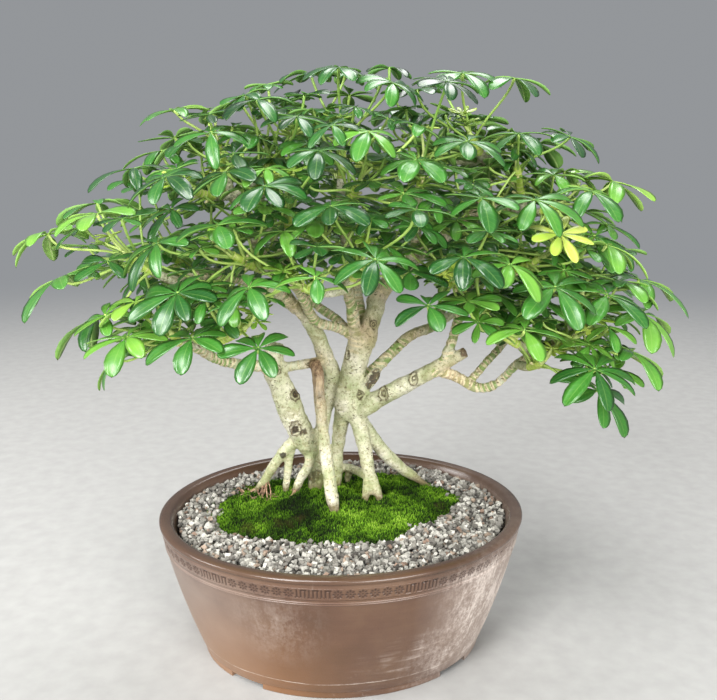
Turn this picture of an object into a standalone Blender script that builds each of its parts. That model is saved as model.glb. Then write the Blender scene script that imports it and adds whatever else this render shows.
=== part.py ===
# Dwarf umbrella tree bonsai in an oval stoneware pot.
# Metres, +Z up. The origin is on the table under the middle of the pot, and +X runs along its long side.

import math
import random

import bmesh
import bpy
from mathutils import Matrix, Vector, noise
from mathutils.bvhtree import BVHTree

MM = 0.001
CM = 0.01
UP = Vector((0.0, 0.0, 1.0))

# Pot: half length, half width and height of the rim, and how far the foot stands in from the rim's outline.
POT_HALF_LENGTH = 150 * MM
POT_HALF_WIDTH = 130 * MM
POT_HEIGHT = 116 * MM
FOOT_INSET = 34 * MM
WALL_BULGE = 3 * MM
WALL_THICKNESS = 9 * MM
POT_SIDES = 40

# Pot's foot ring, floor and wall.
FOOT_HEIGHT = 5.6 * MM
FOOT_STEP = 1.2 * MM
FOOT_WIDTH = 13 * MM
FLOOR_TOP = 14 * MM
WALL_EDGE = 0.6 * MM
WALL_LEVELS = (32 * MM, 66 * MM)
FILLET_TOP = POT_HEIGHT - 19.5 * MM
FILLET_HEIGHT = 2 * MM
FILLET_DEPTH = 0.8 * MM
FILLET_SLOPE = 0.8 * MM
POT_SMOOTH_ANGLE = 32

# Pot's rim: the bead round its outside, the lip's crest, and the lip's inner edge.
BEAD_BOTTOM = POT_HEIGHT - 4.6 * MM
BEAD_EDGE = 1.2 * MM
BEAD_TOP_INSET = 0.4 * MM
CREST_INSET = 3 * MM
LIP_TOP_INSET = 9 * MM
LIP_TOP = POT_HEIGHT - 0.4 * MM
LIP_HEIGHT = POT_HEIGHT - 6 * MM
LIP_INSET = 12.5 * MM

CUT_OUT_WIDTH = 31 * MM
CUT_OUT_HEIGHT = 4.4 * MM
CUT_OUT_ANGLES = (45, 135, 225, 315)
DRAIN_RADIUS = 10 * MM
DRAIN_SIDES = 20
DRAIN_PLACES = (-45 * MM, 45 * MM)

# Clearance between pieces that touch in the real pot.
GAP = 0.3 * MM

# Planting: heights above the table, and the oval of the moss pad.
SOIL_TOP = 102 * MM
SOIL_MIDDLE = 60 * MM
GRAVEL_TOP = 108.5 * MM
GRAVEL_RELIEF = 1.5 * MM
GRAVEL_LUMP = 7 * MM
GRAVEL_RINGS = 5
GRAVEL_STEPS = 52
MOSS_CENTRE = (-4 * MM, 15 * MM)
MOSS_HALF_LENGTH = 102 * MM
MOSS_HALF_WIDTH = 79 * MM
MOSS_EDGE_TOP = 107 * MM
MOSS_CROWN_TOP = 114 * MM
MOSS_RELIEF = 2.4 * MM
MOSS_LUMP = 13 * MM
MOSS_RINGS = 5
MOSS_STEPS = 30
# Waves round the moss pad's outline: how many, how far they reach as a share, and where they start.
MOSS_WAVES = ((2, 0.05, 0.6), (5, 0.04, 1.9), (9, 0.02, 0.0))
# Relief next to the wall, next to the moss and at its edge, as a share of the full relief.
EDGE_RELIEF = 0.3

# Plastic screens over the drain holes.
SCREEN_SIDE = 34 * MM
SCREEN_THICKNESS = 1.2 * MM
SCREEN_BARS = 3
SCREEN_BAR_WIDTH = 2.6 * MM

# The tree's front is turned a few degrees from the pot's front. Its routes are in centimetres, x to the
# right of that front, y away from it and z above the table, and the last value is the radius.
TREE_TURN = math.radians(-6.6)
TUBE_SPACING = 30 * MM
LIMB_SPACING = 45 * MM
ROOT_HOLE_CLEARANCE = 0.5 * MM
# Sides of a tube of wood by its radius: the first row it is thicker than.
TUBE_SIDES = ((7 * MM, 8), (4.6 * MM, 6), (0.0, 5))
WOOD_SMOOTH_ANGLE = 50

TRUNKS_AND_ROOTS = {
    "centre_trunk": ((0.1, 2.8, 18.2, 0.5), (0.3, 2.6, 19.8, 1.1), (0.8, 2.5, 21.9, 1.05),
                     (1.2, 2.5, 23.6, 1.0),
                     (1.6, 2.5, 25.3, 1.05), (1.7, 2.5, 26.1, 0.7)),
    "centre_leg": ((-0.7, 4.3, 9.4, 0.5), (-0.5, 3.8, 14.8, 0.55), (0.0, 3.1, 18.3, 0.7),
                   (0.5, 2.6, 21.0, 0.8)),
    "right_leg": ((2.6, 1.7, 11.8, 0.4), (2.2, 1.8, 14.0, 0.55), (1.7, 2.2, 16.7, 0.65),
                  (0.7, 2.5, 20.4, 0.9)),
    "right_leg_toe": ((1.5, 1.0, 9.8, 0.32), (1.9, 1.2, 11.4, 0.36), (2.2, 1.7, 13.4, 0.42)),
    "right_leg_heel": ((3.6, 1.2, 9.8, 0.34), (3.2, 1.3, 11.4, 0.38), (2.5, 1.7, 13.4, 0.42)),
    "diagonal_root": ((1.4, 2.6, 18.2, 0.75), (3.1, 3.4, 15.5, 0.6), (4.7, 4.3, 13.5, 0.55),
                      (6.4, 5.2, 11.9, 0.45),
                      (7.9, 5.7, 10.6, 0.3)),
    "cross_root": ((-0.5, 3.9, 13.4, 0.36), (0.9, 4.4, 13.0, 0.38), (2.2, 2.0, 13.2, 0.36)),
    "small_root": ((0.6, 4.3, 13.1, 0.32), (0.3, 4.8, 11.4, 0.3), (0.2, 4.9, 9.8, 0.3)),
    "left_inner_trunk": ((-1.3, 4.3, 9.4, 0.5), (-1.7, 4.0, 14.6, 0.55), (-1.7, 3.6, 18.0, 0.6),
                         (-0.8, 3.3, 21.3, 0.75), (-1.4, 3.2, 23.4, 0.7), (-2.1, 2.8, 25.5, 0.65),
                         (-2.8, 2.0, 27.0, 0.6), (-3.9, 1.0, 28.4, 0.5), (-5.2, 0.0, 29.6, 0.45)),
    "left_trunk": ((-2.6, 2.9, 14.8, 0.55), (-3.2, 2.6, 16.4, 1.0), (-4.3, 2.3, 18.9, 1.1),
                   (-5.1, 2.0, 21.2, 1.0), (-5.7, 2.0, 23.0, 0.95),
                   (-5.5, 2.0, 24.9, 0.75)),
    "left_root_outer": ((-3.7, 2.6, 16.6, 0.55), (-5.1, 2.6, 15.2, 0.5), (-6.1, 2.9, 13.7, 0.42),
                        (-6.9, 3.2, 12.3, 0.36), (-8.6, 3.7, 10.2, 0.26)),
    "left_root_second": ((-4.3, 2.6, 16.0, 0.4), (-4.7, 2.8, 13.8, 0.34), (-5.2, 3.3, 9.8, 0.3)),
    "left_root_third": ((-2.6, 2.5, 16.4, 0.5), (-2.9, 2.4, 14.2, 0.44), (-3.7, 2.6, 12.7, 0.38),
                        (-4.6, 3.0, 10.0, 0.3)),
    "left_root_fourth": ((-2.7, 3.0, 16.0, 0.42), (-2.7, 3.2, 13.2, 0.32), (-3.0, 3.5, 9.8, 0.28)),
    "left_root_inner": ((-2.9, 3.2, 17.0, 0.6), (-2.3, 3.5, 13.4, 0.5), (-2.1, 3.8, 9.6, 0.45)),
    "fused_branch": ((-5.8, 2.0, 23.0, 0.4), (-4.3, 1.9, 23.0, 0.4), (-1.3, 2.7, 23.3, 0.4)),
    "brown_aerial_root": ((-2.3, 2.1, 23.2, 0.45), (-2.0, 1.1, 22.6, 0.5), (-1.8, 0.5, 20.6, 0.48),
                          (-1.6, 0.2, 18.4, 0.46), (-1.3, 0.0, 15.6, 0.48), (-0.8, -0.5, 12.2, 0.55),
                          (-0.4, -0.9, 9.6, 0.55)),
    "right_big_branch": ((0.4, 2.6, 18.2, 0.4), (1.9, 2.1, 19.4, 0.8), (3.8, 1.4, 20.8, 0.72),
                         (5.8, 0.7, 22.1, 0.68),
                         (7.7, 0.0, 23.4, 0.62), (8.8, -0.3, 24.1, 0.5), (9.9, -0.5, 24.8, 0.4)),
}

# Limbs that carry twigs and shoots.
LIMBS = {
    "left_low_limb": ((-5.8, 2.0, 23.0, 0.5), (-7.6, 1.0, 23.3, 0.45), (-9.4, 0.0, 23.9, 0.42),
                      (-10.6, -1.5, 24.9, 0.38), (-11.8, -3.2, 26.2, 0.34)),
    "left_mid_limb": ((-3.9, 1.0, 28.4, 0.5), (-5.6, -0.3, 29.9, 0.45), (-8.0, -1.8, 30.9, 0.42),
                      (-10.2, -3.0, 31.3, 0.38), (-12.0, -4.0, 31.0, 0.35)),
    "left_high_limb": ((-3.9, 1.0, 28.4, 0.42), (-5.5, 0.2, 31.4, 0.4), (-7.0, -1.4, 34.6, 0.36),
                       (-8.0, -2.2, 37.2, 0.32)),
    "left_back_limb": ((-3.4, 1.6, 27.6, 0.42), (-6.6, 3.8, 29.2, 0.4), (-10.2, 5.0, 30.4, 0.34)),
    "centre_front_limb": ((1.2, 2.4, 24.6, 0.5), (0.9, 1.5, 27.6, 0.5), (0.5, 0.6, 30.0, 0.44),
                          (0.5, -1.0, 32.6, 0.4), (0.0, -2.2, 36.2, 0.34)),
    "centre_low_limb": ((0.6, 0.9, 29.2, 0.4), (0.6, -2.4, 30.0, 0.36), (0.2, -5.6, 30.6, 0.32)),
    "centre_back_limb": ((1.7, 2.9, 25.0, 0.5), (1.5, 3.8, 27.4, 0.45), (0.9, 5.4, 30.6, 0.4),
                         (0.2, 6.6, 34.0, 0.34)),
    "right_high_limb": ((1.8, 2.5, 24.8, 0.95), (2.6, 2.9, 27.2, 0.8), (3.2, 3.4, 28.9, 0.72),
                        (5.0, 4.0, 30.8, 0.62),
                        (7.8, 4.6, 32.9, 0.55), (10.4, 4.4, 34.9, 0.5), (11.7, 3.6, 37.0, 0.42),
                        (11.6, 2.4, 39.6, 0.36)),
    "right_high_side": ((11.2, 4.2, 35.6, 0.42), (13.0, 3.8, 36.0, 0.36), (14.6, 2.0, 35.6, 0.32)),
    "right_front_limb": ((3.4, 3.4, 29.1, 0.5), (4.7, 0.6, 31.0, 0.42), (5.6, -2.4, 33.4, 0.38),
                         (5.6, -3.6, 36.2, 0.34)),
    "left_front_limb": ((1.0, 2.5, 25.5, 0.5), (-0.5, 2.0, 26.3, 0.42), (-2.1, 1.2, 27.0, 0.4),
                        (-3.0, -1.4, 29.4, 0.38),
                        (-3.7, -3.8, 31.6, 0.34), (-3.6, -4.8, 33.6, 0.32)),
    "left_behind_limb": ((0.7, 2.9, 25.6, 0.42), (-0.6, 3.3, 26.8, 0.38), (-2.4, 4.0, 28.0, 0.36),
                         (-4.6, 4.6, 30.8, 0.34), (-6.0, 4.4, 34.0, 0.32), (-6.6, 3.8, 36.8, 0.3)),
    "back_limb": ((1.2, 4.7, 29.2, 0.4), (1.6, 7.2, 29.8, 0.36), (1.3, 9.3, 30.8, 0.32)),
    "right_up_limb": ((8.2, -0.1, 23.7, 0.42), (8.9, -0.4, 26.0, 0.4), (9.4, -1.0, 28.5, 0.38),
                      (9.9, -2.4, 31.0, 0.34)),
    "right_thin_limb": ((7.6, 0.0, 23.2, 0.45), (9.3, 0.0, 22.6, 0.42), (10.9, -0.4, 21.8, 0.4),
                        (12.3, -1.0, 22.3, 0.36),
                        (13.8, -2.0, 24.2, 0.34), (15.4, -3.2, 25.6, 0.32), (16.8, -4.4, 27.0, 0.3)),
    "right_second_limb": ((10.2, -0.1, 22.0, 0.34), (11.6, 0.6, 23.5, 0.32), (13.8, 2.2, 25.5, 0.3),
                          (15.4, 3.4, 27.6, 0.28)),
    "right_mid_limb": ((1.2, 2.7, 21.2, 0.6), (2.8, 3.2, 22.5, 0.5), (4.4, 4.0, 23.9, 0.46),
                       (5.9, 4.5, 25.1, 0.44),
                       (8.2, 5.6, 26.0, 0.4), (8.8, 7.2, 28.6, 0.34), (8.8, 8.0, 31.2, 0.3)),
}

# Leafy shoots: the tip of the green stem, then the place of each leaf, in the same centimetres.
SHOOTS = (
    ((-15.2, -5.0, 33.0), (-21.6, -3.2, 34.4), (-16.6, -7.4, 36.2), (-19.4, -7.6, 31.8),
     (-18.6, -0.8, 36.4)),
    ((-12.0, -6.8, 27.6), (-17.4, -5.8, 28.6), (-14.2, -10.6, 28.2), (-15.8, -2.4, 27.2)),
    ((-10.2, -5.0, 37.6), (-14.4, -5.2, 39.2), (-11.4, -9.0, 38.7), (-13.2, -1.8, 40.4)),
    ((-8.8, -3.4, 41.0), (-11.6, -4.2, 43.2), (-8.6, -7.2, 41.6)),
    ((-7.4, -7.6, 33.4), (-7.6, -11.8, 35.8), (-12.0, -9.8, 34.4), (-10.4, -11.8, 31.4)),
    ((-6.6, -8.6, 28.4), (-9.4, -12.6, 28.6), (-5.0, -13.8, 28.2)),
    ((-2.6, -9.0, 31.4), (-5.4, -14.4, 32.2), (-1.2, -15.6, 33.0)),
    ((1.6, -8.0, 33.0), (2.4, -15.2, 34.0), (-0.4, -12.2, 37.0), (5.0, -12.2, 36.8)),
    ((-3.6, -6.6, 37.0), (-4.6, -11.4, 38.2), (-7.2, -8.8, 39.4), (-1.2, -10.0, 40.4)),
    ((1.4, -5.0, 38.2), (2.0, -9.4, 41.6), (5.2, -8.8, 39.8)),
    ((-4.4, -2.4, 40.2), (-5.6, -5.8, 43.8), (-2.8, -7.4, 43.0), (-7.4, -1.2, 44.0)),
    ((0.2, -1.8, 41.2), (0.0, -4.4, 46.0), (3.0, -4.8, 45.2), (-2.2, -0.2, 46.0)),
    ((6.0, -3.6, 39.6), (5.8, -6.4, 43.8), (8.6, -8.2, 41.0)),
    ((9.8, -0.6, 41.4), (8.8, -3.2, 45.9), (12.6, -2.2, 45.5), (7.8, 1.6, 45.8)),
    ((13.4, -0.4, 39.2), (16.8, -2.4, 41.4), (14.0, -4.8, 41.8), (15.6, 2.6, 41.0)),
    ((16.6, -0.8, 36.4), (20.2, -2.2, 38.2), (17.8, -5.4, 37.6)),
    ((11.0, -4.8, 34.8), (13.2, -8.6, 37.2), (9.4, -10.0, 37.4)),
    ((14.4, -5.2, 32.8), (14.8, -9.4, 35.0), (18.6, -6.4, 34.4), (14.4, -10.6, 31.6)),
    ((8.0, -7.4, 31.6), (8.0, -12.4, 33.8), (11.2, -11.4, 33.2), (5.8, -13.0, 30.8)),
    ((10.8, -7.6, 28.4), (12.2, -12.0, 29.0)),
    ((17.8, -4.4, 30.0), (22.4, -3.2, 31.0), (21.8, -6.2, 29.0), (18.4, -8.8, 30.8)),
    ((17.0, -6.4, 27.2), (20.6, -7.6, 26.6), (17.4, -10.6, 26.0)),
    ((14.8, -5.6, 25.2), (18.6, -7.4, 23.6)),
    ((-13.8, 2.6, 32.0), (-19.2, 2.8, 32.0), (-16.6, 7.0, 32.8)),
    ((-11.2, 7.2, 29.0), (-14.8, 10.4, 28.6), (-10.2, 13.0, 28.6)),
    ((-9.4, 3.4, 37.2), (-13.0, 5.0, 38.4), (-9.2, 7.8, 39.8)),
    ((-6.2, 9.4, 32.8), (-9.2, 13.4, 33.8), (-4.4, 15.2, 32.4)),
    ((1.2, 12.4, 32.4), (-1.2, 16.0, 32.6), (4.0, 15.8, 31.6)),
    ((-0.4, 8.4, 37.2), (-3.4, 12.2, 38.2), (2.2, 12.6, 38.4)),
    ((-2.6, 3.0, 41.0), (-4.8, 5.6, 43.8), (-0.8, 6.8, 43.2), (0.4, 2.8, 46.2)),
    ((6.6, 3.4, 40.4), (4.2, 6.2, 43.6), (8.6, 7.2, 42.4), (4.4, 1.4, 46.0)),
    ((8.4, 10.0, 33.6), (6.4, 14.8, 34.8), (11.6, 13.8, 33.2)),
    ((12.4, 5.4, 38.4), (12.0, 9.6, 39.4), (16.2, 6.8, 38.0)),
    ((16.6, 3.2, 31.6), (21.2, 1.6, 33.6), (19.6, 6.6, 31.4)),
    ((11.8, 6.6, 28.6), (15.0, 9.8, 28.2)),
)

# Twigs and the green stems they end in. A twig leaves its limb where it is short, but not shorter than
# TWIG_LENGTH, and TWIG_RISE or more below its tip. Its woody part is WOODY_SHARE of it.
TWIG_RADIUS = 4.0 * MM
TWIG_TO_LIMB = 0.9
TWIG_SAG = 0.14
TWIG_LENGTH = 36 * MM
TWIG_RISE = 20 * MM
SHORT_COST = 4
HIGH_COST = 0.8
STEM_TIP_RADIUS = 2.4 * MM
STEM_SIDES = 5
STEM_SPANS = 4
WOODY_SHARE = 0.5

# A leaf's petiole and its leaflets.
PETIOLE_RADIUS = 0.9 * MM
PETIOLE_SPANS = 2
PETIOLE_SPACING = 4.0 * MM
FIRST_PETIOLE = 0.6
PETIOLE_TURNS = (math.pi, -math.pi / 3, math.pi / 3)
PETIOLE_BEND = 0.3
LEAFLET_LENGTH = 35 * MM
LEAFLET_WIDTH_SHARE = 0.44
LEAF_SPREAD = math.radians(318)
OUTER_LEAFLET_LOSS = 0.26
RIB_THICKNESS = 1.2 * MM
NOTCH_SHARE = 0.16
EDGE_NOTCH_TURN = math.radians(12)
# Along the leaflet as a share of its length, and across it as a share of its half width.
RIB_PLACE = 0.60
SHOULDER = (0.62, 1.0)
TIP_CORNER = (0.96, 0.42)
LEAFLET_RISE = 0.10
LEAFLET_CURL = 0.12
LEAFLET_CHANNEL = 0.10

# How leaves face: up, along the petiole, out of the crown, and a share of chance.
FACE_UP = 1.05
FACE_ALONG = 0.5
FACE_OUT = 0.15
FACE_SWAY = 0.25
FORWARD_OUT = 10 * MM
FORWARD_TURN = 0.3
# Leaves near the crown's ends are larger and droop more.
CROWN_HALF_LENGTH = 26 * CM
MIDDLE_SIZE = 0.88
END_SIZE = 0.45
SIZE_RANGE = (0.86, 1.12)
DROOP_RANGE = (0.26, 0.46)
END_DROOP = 0.12
BACK_OF_CROWN = 20 * MM
FRONT_LEAFLETS = (5, 6, 6, 6, 7)
BACK_LEAFLETS = (5, 5, 6)

# A leaf that would cross another is moved, tilted, turned and made smaller, a little more with each try.
LEAF_TRIES = 60
LOOSE_TRIES = 12
LEAF_SHIFT = 16 * MM
LEAF_TILT = 0.5
LEAF_TURN = 0.4
LEAF_SHRINK = 0.12
LEAF_CLEARANCE = 0.7 * MM


def material(name, colour, roughness, metallic=0.0):
    made = bpy.data.materials.new(name)
    made.use_nodes = True
    shader = made.node_tree.nodes["Principled BSDF"]
    shader.inputs["Base Color"].default_value = (*colour, 1.0)
    shader.inputs["Roughness"].default_value = roughness
    shader.inputs["Metallic"].default_value = metallic
    return made


def solid(name, points, faces, finish=None, smooth_angle=None):
    """A mesh object from points and faces, with its faces turned to point out."""
    mesh = bpy.data.meshes.new(name)
    mesh.from_pydata([tuple(point) for point in points], [], faces)
    work = bmesh.new()
    work.from_mesh(mesh)
    bmesh.ops.recalc_face_normals(work, faces=work.faces)
    if work.calc_volume(signed=True) < 0:
        bmesh.ops.reverse_faces(work, faces=work.faces)
    work.to_mesh(mesh)
    work.free()
    made = bpy.data.objects.new(name, mesh)
    bpy.context.scene.collection.objects.link(made)
    if finish:
        mesh.materials.append(finish)
    if smooth_angle:
        mesh.shade_smooth()
        mesh.set_sharp_from_angle(angle=math.radians(smooth_angle))
    return made


def apply_modifiers(thing):
    """Replace the object's mesh with the one its modifiers give."""
    graph = bpy.context.evaluated_depsgraph_get()
    shaped = bpy.data.meshes.new_from_object(thing.evaluated_get(graph))
    thing.modifiers.clear()
    thing.data = shaped


def cut(thing, cutter):
    """Take the cutter's shape out of the object and remove the cutter."""
    step = thing.modifiers.new("cut", "BOOLEAN")
    step.operation = "DIFFERENCE"
    step.object = cutter
    apply_modifiers(thing)
    bpy.data.objects.remove(cutter)


def join(base, others):
    """Unite the base with the others in one Boolean union, and remove the others."""
    group = bpy.data.collections.new("union")
    bpy.context.scene.collection.children.link(group)
    for other in others:
        group.objects.link(other)
    step = base.modifiers.new("union", "BOOLEAN")
    step.operation = "UNION"
    step.operand_type = "COLLECTION"
    step.collection = group
    apply_modifiers(base)
    for other in others:
        bpy.data.objects.remove(other)
    bpy.data.collections.remove(group)


def tree_point(x, y, z):
    """A point of the tree's front view, in centimetres, placed in the pot's frame in metres."""
    return Matrix.Rotation(TREE_TURN, 3, "Z") @ (Vector((x, y, z)) * CM)


# Pot

def oval(inset, height, sides, centre=(0.0, 0.0), half=(POT_HALF_LENGTH, POT_HALF_WIDTH)):
    """One ring of points at the given inset from the outline."""
    ring = []
    for step in range(sides):
        turn = math.tau * step / sides
        x = centre[0] + (half[0] - inset) * math.cos(turn)
        y = centre[1] + (half[1] - inset) * math.sin(turn)
        ring.append(Vector((x, y, height)))
    return ring


def wall_inset(height):
    """How far the pot's outer wall stands in from the rim's outline at a height."""
    share = height / POT_HEIGHT
    return FOOT_INSET * (1 - share) - 4 * WALL_BULGE * share * (1 - share)


def inner_inset(height):
    """How far the pot's straight inner wall stands in from the rim's outline at a height."""
    share = (height - FLOOR_TOP) / (LIP_HEIGHT - FLOOR_TOP)
    foot = wall_inset(FLOOR_TOP) + WALL_THICKNESS
    return foot + (LIP_INSET - foot) * share


def loft(rings):
    """Faces between rings of equal length, with flat caps on the first and the last ring."""
    sides = len(rings[0])
    points = [point for ring in rings for point in ring]
    faces = []
    for row in range(len(rings) - 1):
        for step in range(sides):
            after = (step + 1) % sides
            low = row * sides
            high = low + sides
            faces.append((low + step, low + after, high + after, high + step))
    faces.append(tuple(reversed(range(sides))))
    last = (len(rings) - 1) * sides
    faces.append(tuple(range(last, last + sides)))
    return points, faces


def make_pot(finish):
    foot = wall_inset(FOOT_HEIGHT) + FOOT_STEP
    rows = [
        (foot + FOOT_WIDTH, FOOT_HEIGHT),
        (foot + FOOT_WIDTH, 0.0),
        (foot, 0.0),
        (foot, FOOT_HEIGHT),
    ]
    for height in (FOOT_HEIGHT + WALL_EDGE, *WALL_LEVELS, FILLET_TOP - FILLET_HEIGHT):
        rows.append((wall_inset(height), height))
    rows += [
        (wall_inset(FILLET_TOP) - FILLET_DEPTH, FILLET_TOP - FILLET_HEIGHT + FILLET_SLOPE),
        (wall_inset(FILLET_TOP), FILLET_TOP),
        (wall_inset(BEAD_BOTTOM) + WALL_EDGE, BEAD_BOTTOM),
        (0.0, BEAD_BOTTOM + BEAD_EDGE),
        (BEAD_TOP_INSET, POT_HEIGHT - BEAD_EDGE),
        (CREST_INSET, POT_HEIGHT),
        (LIP_TOP_INSET, LIP_TOP),
        (LIP_INSET, LIP_HEIGHT),
        (inner_inset(FLOOR_TOP), FLOOR_TOP),
    ]
    rings = [oval(inset, height, POT_SIDES) for inset, height in rows]
    points, faces = loft(rings)
    pot = solid("pot", points, faces, finish, POT_SMOOTH_ANGLE)
    for angle in CUT_OUT_ANGLES:
        cut(pot, foot_cutter(math.radians(angle)))
    for place in DRAIN_PLACES:
        drill = oval(0.0, -FLOOR_TOP, DRAIN_SIDES, (place, 0.0), (DRAIN_RADIUS, DRAIN_RADIUS))
        top = [point + UP * 3 * FLOOR_TOP for point in drill]
        cut(pot, solid("drill", *loft([drill, top])))


def foot_cutter(angle):
    """A block across the foot ring at an angle round the pot."""
    foot = wall_inset(0.0) + FOOT_STEP + FOOT_WIDTH / 2
    x = (POT_HALF_LENGTH - foot) * math.cos(angle)
    y = (POT_HALF_WIDTH - foot) * math.sin(angle)
    across = math.atan2(y / (POT_HALF_WIDTH - foot) ** 2, x / (POT_HALF_LENGTH - foot) ** 2)
    bpy.ops.mesh.primitive_cube_add(size=1, location=(x, y, 0), rotation=(0, 0, across))
    block = bpy.context.object
    block.scale = (3 * FOOT_WIDTH, CUT_OUT_WIDTH, 2 * CUT_OUT_HEIGHT)
    return block


def make_drain_mesh(name, place, finish):
    """A plastic grid that lies on the pot's floor over a drain hole."""
    bottom = FLOOR_TOP + GAP
    spacing = (SCREEN_SIDE - SCREEN_BAR_WIDTH) / (SCREEN_BARS - 1)
    edges = []
    for bar in range(SCREEN_BARS):
        start = bar * spacing - SCREEN_SIDE / 2
        edges += [start, start + SCREEN_BAR_WIDTH]
    count = len(edges)
    points = []
    for height in (bottom, bottom + SCREEN_THICKNESS):
        points += [Vector((place + x, y, height)) for y in edges for x in edges]
    layer = count * count
    filled = {(column, row) for column in range(count - 1) for row in range(count - 1)
              if not (column % 2 and row % 2)}
    faces = []
    for column, row in sorted(filled):
        corner = row * count + column
        low = (corner, corner + 1, corner + count + 1, corner + count)
        faces.append(tuple(reversed(low)))
        faces.append(tuple(index + layer for index in low))
        sides = ((column, row - 1), (column + 1, row), (column, row + 1), (column - 1, row))
        for side, neighbour in enumerate(sides):
            if neighbour not in filled:
                first = low[side]
                second = low[(side + 1) % 4]
                faces.append((first, second, second + layer, first + layer))
    return solid(name, points, faces, finish)


# Soil, gravel and moss

def make_soil(finish):
    """The growing mix: it fills the pot from over the drain screens to under the gravel."""
    bottom = FLOOR_TOP + SCREEN_THICKNESS + 2 * GAP
    levels = (bottom, SOIL_MIDDLE, SOIL_TOP)
    rings = [oval(inner_inset(height) + GAP, height, POT_SIDES) for height in levels]
    points, faces = loft(rings)
    return solid("soil", points, faces, finish)


def moss_reach(turn):
    """The moss pad's uneven outline, as a share of its oval."""
    return 1 + sum(reach * math.sin(count * turn + start) for count, reach, start in MOSS_WAVES)


def moss_ring(share, height, steps, clearance=0.0):
    ring = []
    for step in range(steps):
        turn = math.tau * step / steps
        reach = share * moss_reach(turn)
        x = MOSS_CENTRE[0] + (reach * MOSS_HALF_LENGTH + clearance) * math.cos(turn)
        y = MOSS_CENTRE[1] + (reach * MOSS_HALF_WIDTH + clearance) * math.sin(turn)
        ring.append(Vector((x, y, height)))
    return ring


def grit(point, seed):
    """A value from -1 to 1 that changes from grain to grain."""
    cell = Vector((point.x / GRAVEL_LUMP, point.y / GRAVEL_LUMP, seed))
    return noise.cell(cell) * 2 - 1


def make_gravel(finish):
    """A ring of top dressing between the pot's wall and the moss, its top broken up into coarse grains."""
    bottom = SOIL_TOP + GAP
    inner = moss_ring(1.0, bottom, GRAVEL_STEPS, 2 * GAP)
    outer = oval(inner_inset(bottom) + 3 * GAP, bottom, GRAVEL_STEPS)
    rings = [list(inner)]
    for row in range(GRAVEL_RINGS + 1):
        share = row / GRAVEL_RINGS
        ring = []
        for step in range(GRAVEL_STEPS):
            point = inner[step].lerp(outer[step], share)
            at_edge = row in (0, GRAVEL_RINGS)
            relief = GRAVEL_RELIEF * (EDGE_RELIEF if at_edge else 1.0)
            point.z = GRAVEL_TOP + relief * grit(point, row * GRAVEL_STEPS + step)
            ring.append(point)
        rings.append(ring)
    rings.append(list(outer))
    points = [point for ring in rings for point in ring]
    faces = []
    for row in range(len(rings)):
        below = row * GRAVEL_STEPS
        above = ((row + 1) % len(rings)) * GRAVEL_STEPS
        for step in range(GRAVEL_STEPS):
            after = (step + 1) % GRAVEL_STEPS
            faces.append((below + step, below + after, above + after, above + step))
    solid("gravel", points, faces, finish)


def make_moss(finish):
    """A low mound of moss cushions on the soil under the trunks."""
    bottom = SOIL_TOP + GAP
    rings = [moss_ring(1.0, bottom, MOSS_STEPS)]
    for row in range(MOSS_RINGS):
        share = 1 - row / MOSS_RINGS
        rise = MOSS_EDGE_TOP + (MOSS_CROWN_TOP - MOSS_EDGE_TOP) * (1 - share ** 2)
        ring = moss_ring(share, rise, MOSS_STEPS)
        for point in ring:
            bump = noise.noise(Vector((point.x, point.y, 0.0)) / MOSS_LUMP)
            point.z += MOSS_RELIEF * bump * (EDGE_RELIEF if row == 0 else 1.0)
        rings.append(ring)
    points, faces = loft(rings)
    return solid("moss", points, faces, finish)


# Wood

def smooth_route(stations, spacing):
    """Points with radii along a smooth curve through the stations, each an (x, y, z, radius) vector."""
    count = len(stations)
    route = [stations[0].copy()]
    for span in range(count - 1):
        before = stations[max(span - 1, 0)]
        start = stations[span]
        end = stations[span + 1]
        after = stations[min(span + 2, count - 1)]
        steps = max(1, round((end - start).xyz.length / spacing))
        for step in range(1, steps + 1):
            t = step / steps
            bend = (end - before) * t + (2 * before - 5 * start + 4 * end - after) * t * t
            bend += (3 * (start - end) + after - before) * t ** 3
            route.append(start + 0.5 * bend)
    return route


def tube_points(route, sides, first_way=None, last_way=None):
    """Rings of points round a route of (x, y, z, radius), each ring square to the route."""
    centres = [point.xyz for point in route]
    count = len(centres)
    ways = []
    for index in range(count):
        behind = centres[max(index - 1, 0)]
        ahead = centres[min(index + 1, count - 1)]
        ways.append((ahead - behind).normalized())
    if first_way:
        ways[0] = first_way
    if last_way:
        ways[-1] = last_way
    side = ways[0].orthogonal().normalized()
    rings = []
    for index in range(count):
        side = (side - ways[index] * side.dot(ways[index])).normalized()
        other = ways[index].cross(side)
        ring = []
        for step in range(sides):
            turn = math.tau * step / sides
            offset = side * math.cos(turn) + other * math.sin(turn)
            ring.append(centres[index] + offset * route[index].w)
        rings.append(ring)
    return rings


def sides_for(radius):
    return next(sides for least, sides in TUBE_SIDES if radius > least)


def limb_route(stations, spacing):
    placed = []
    for x, y, z, radius in stations:
        placed.append(tree_point(x, y, z).to_4d())
        placed[-1].w = radius * CM
    return smooth_route(placed, spacing)


def tube(name, route, first_way=None, last_way=None, sides=None):
    thickest = max(point.w for point in route)
    rings = tube_points(route, sides or sides_for(thickest), first_way, last_way)
    points, faces = loft(rings)
    return solid(name, points, faces)


def root_hole(route):
    """A cutter a little wider and longer than a root."""
    rings = tube_points(route, sides_for(max(point.w for point in route)))
    for ring, way in ((rings[0], route[0] - route[1]), (rings[-1], route[-1] - route[-2])):
        for point in ring:
            point += way.xyz.normalized() * ROOT_HOLE_CLEARANCE
    for ring, centre in zip(rings, route):
        for point in ring:
            point += (point - centre.xyz).normalized() * ROOT_HOLE_CLEARANCE
    points, faces = loft(rings)
    return solid("hole", points, faces)


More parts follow.
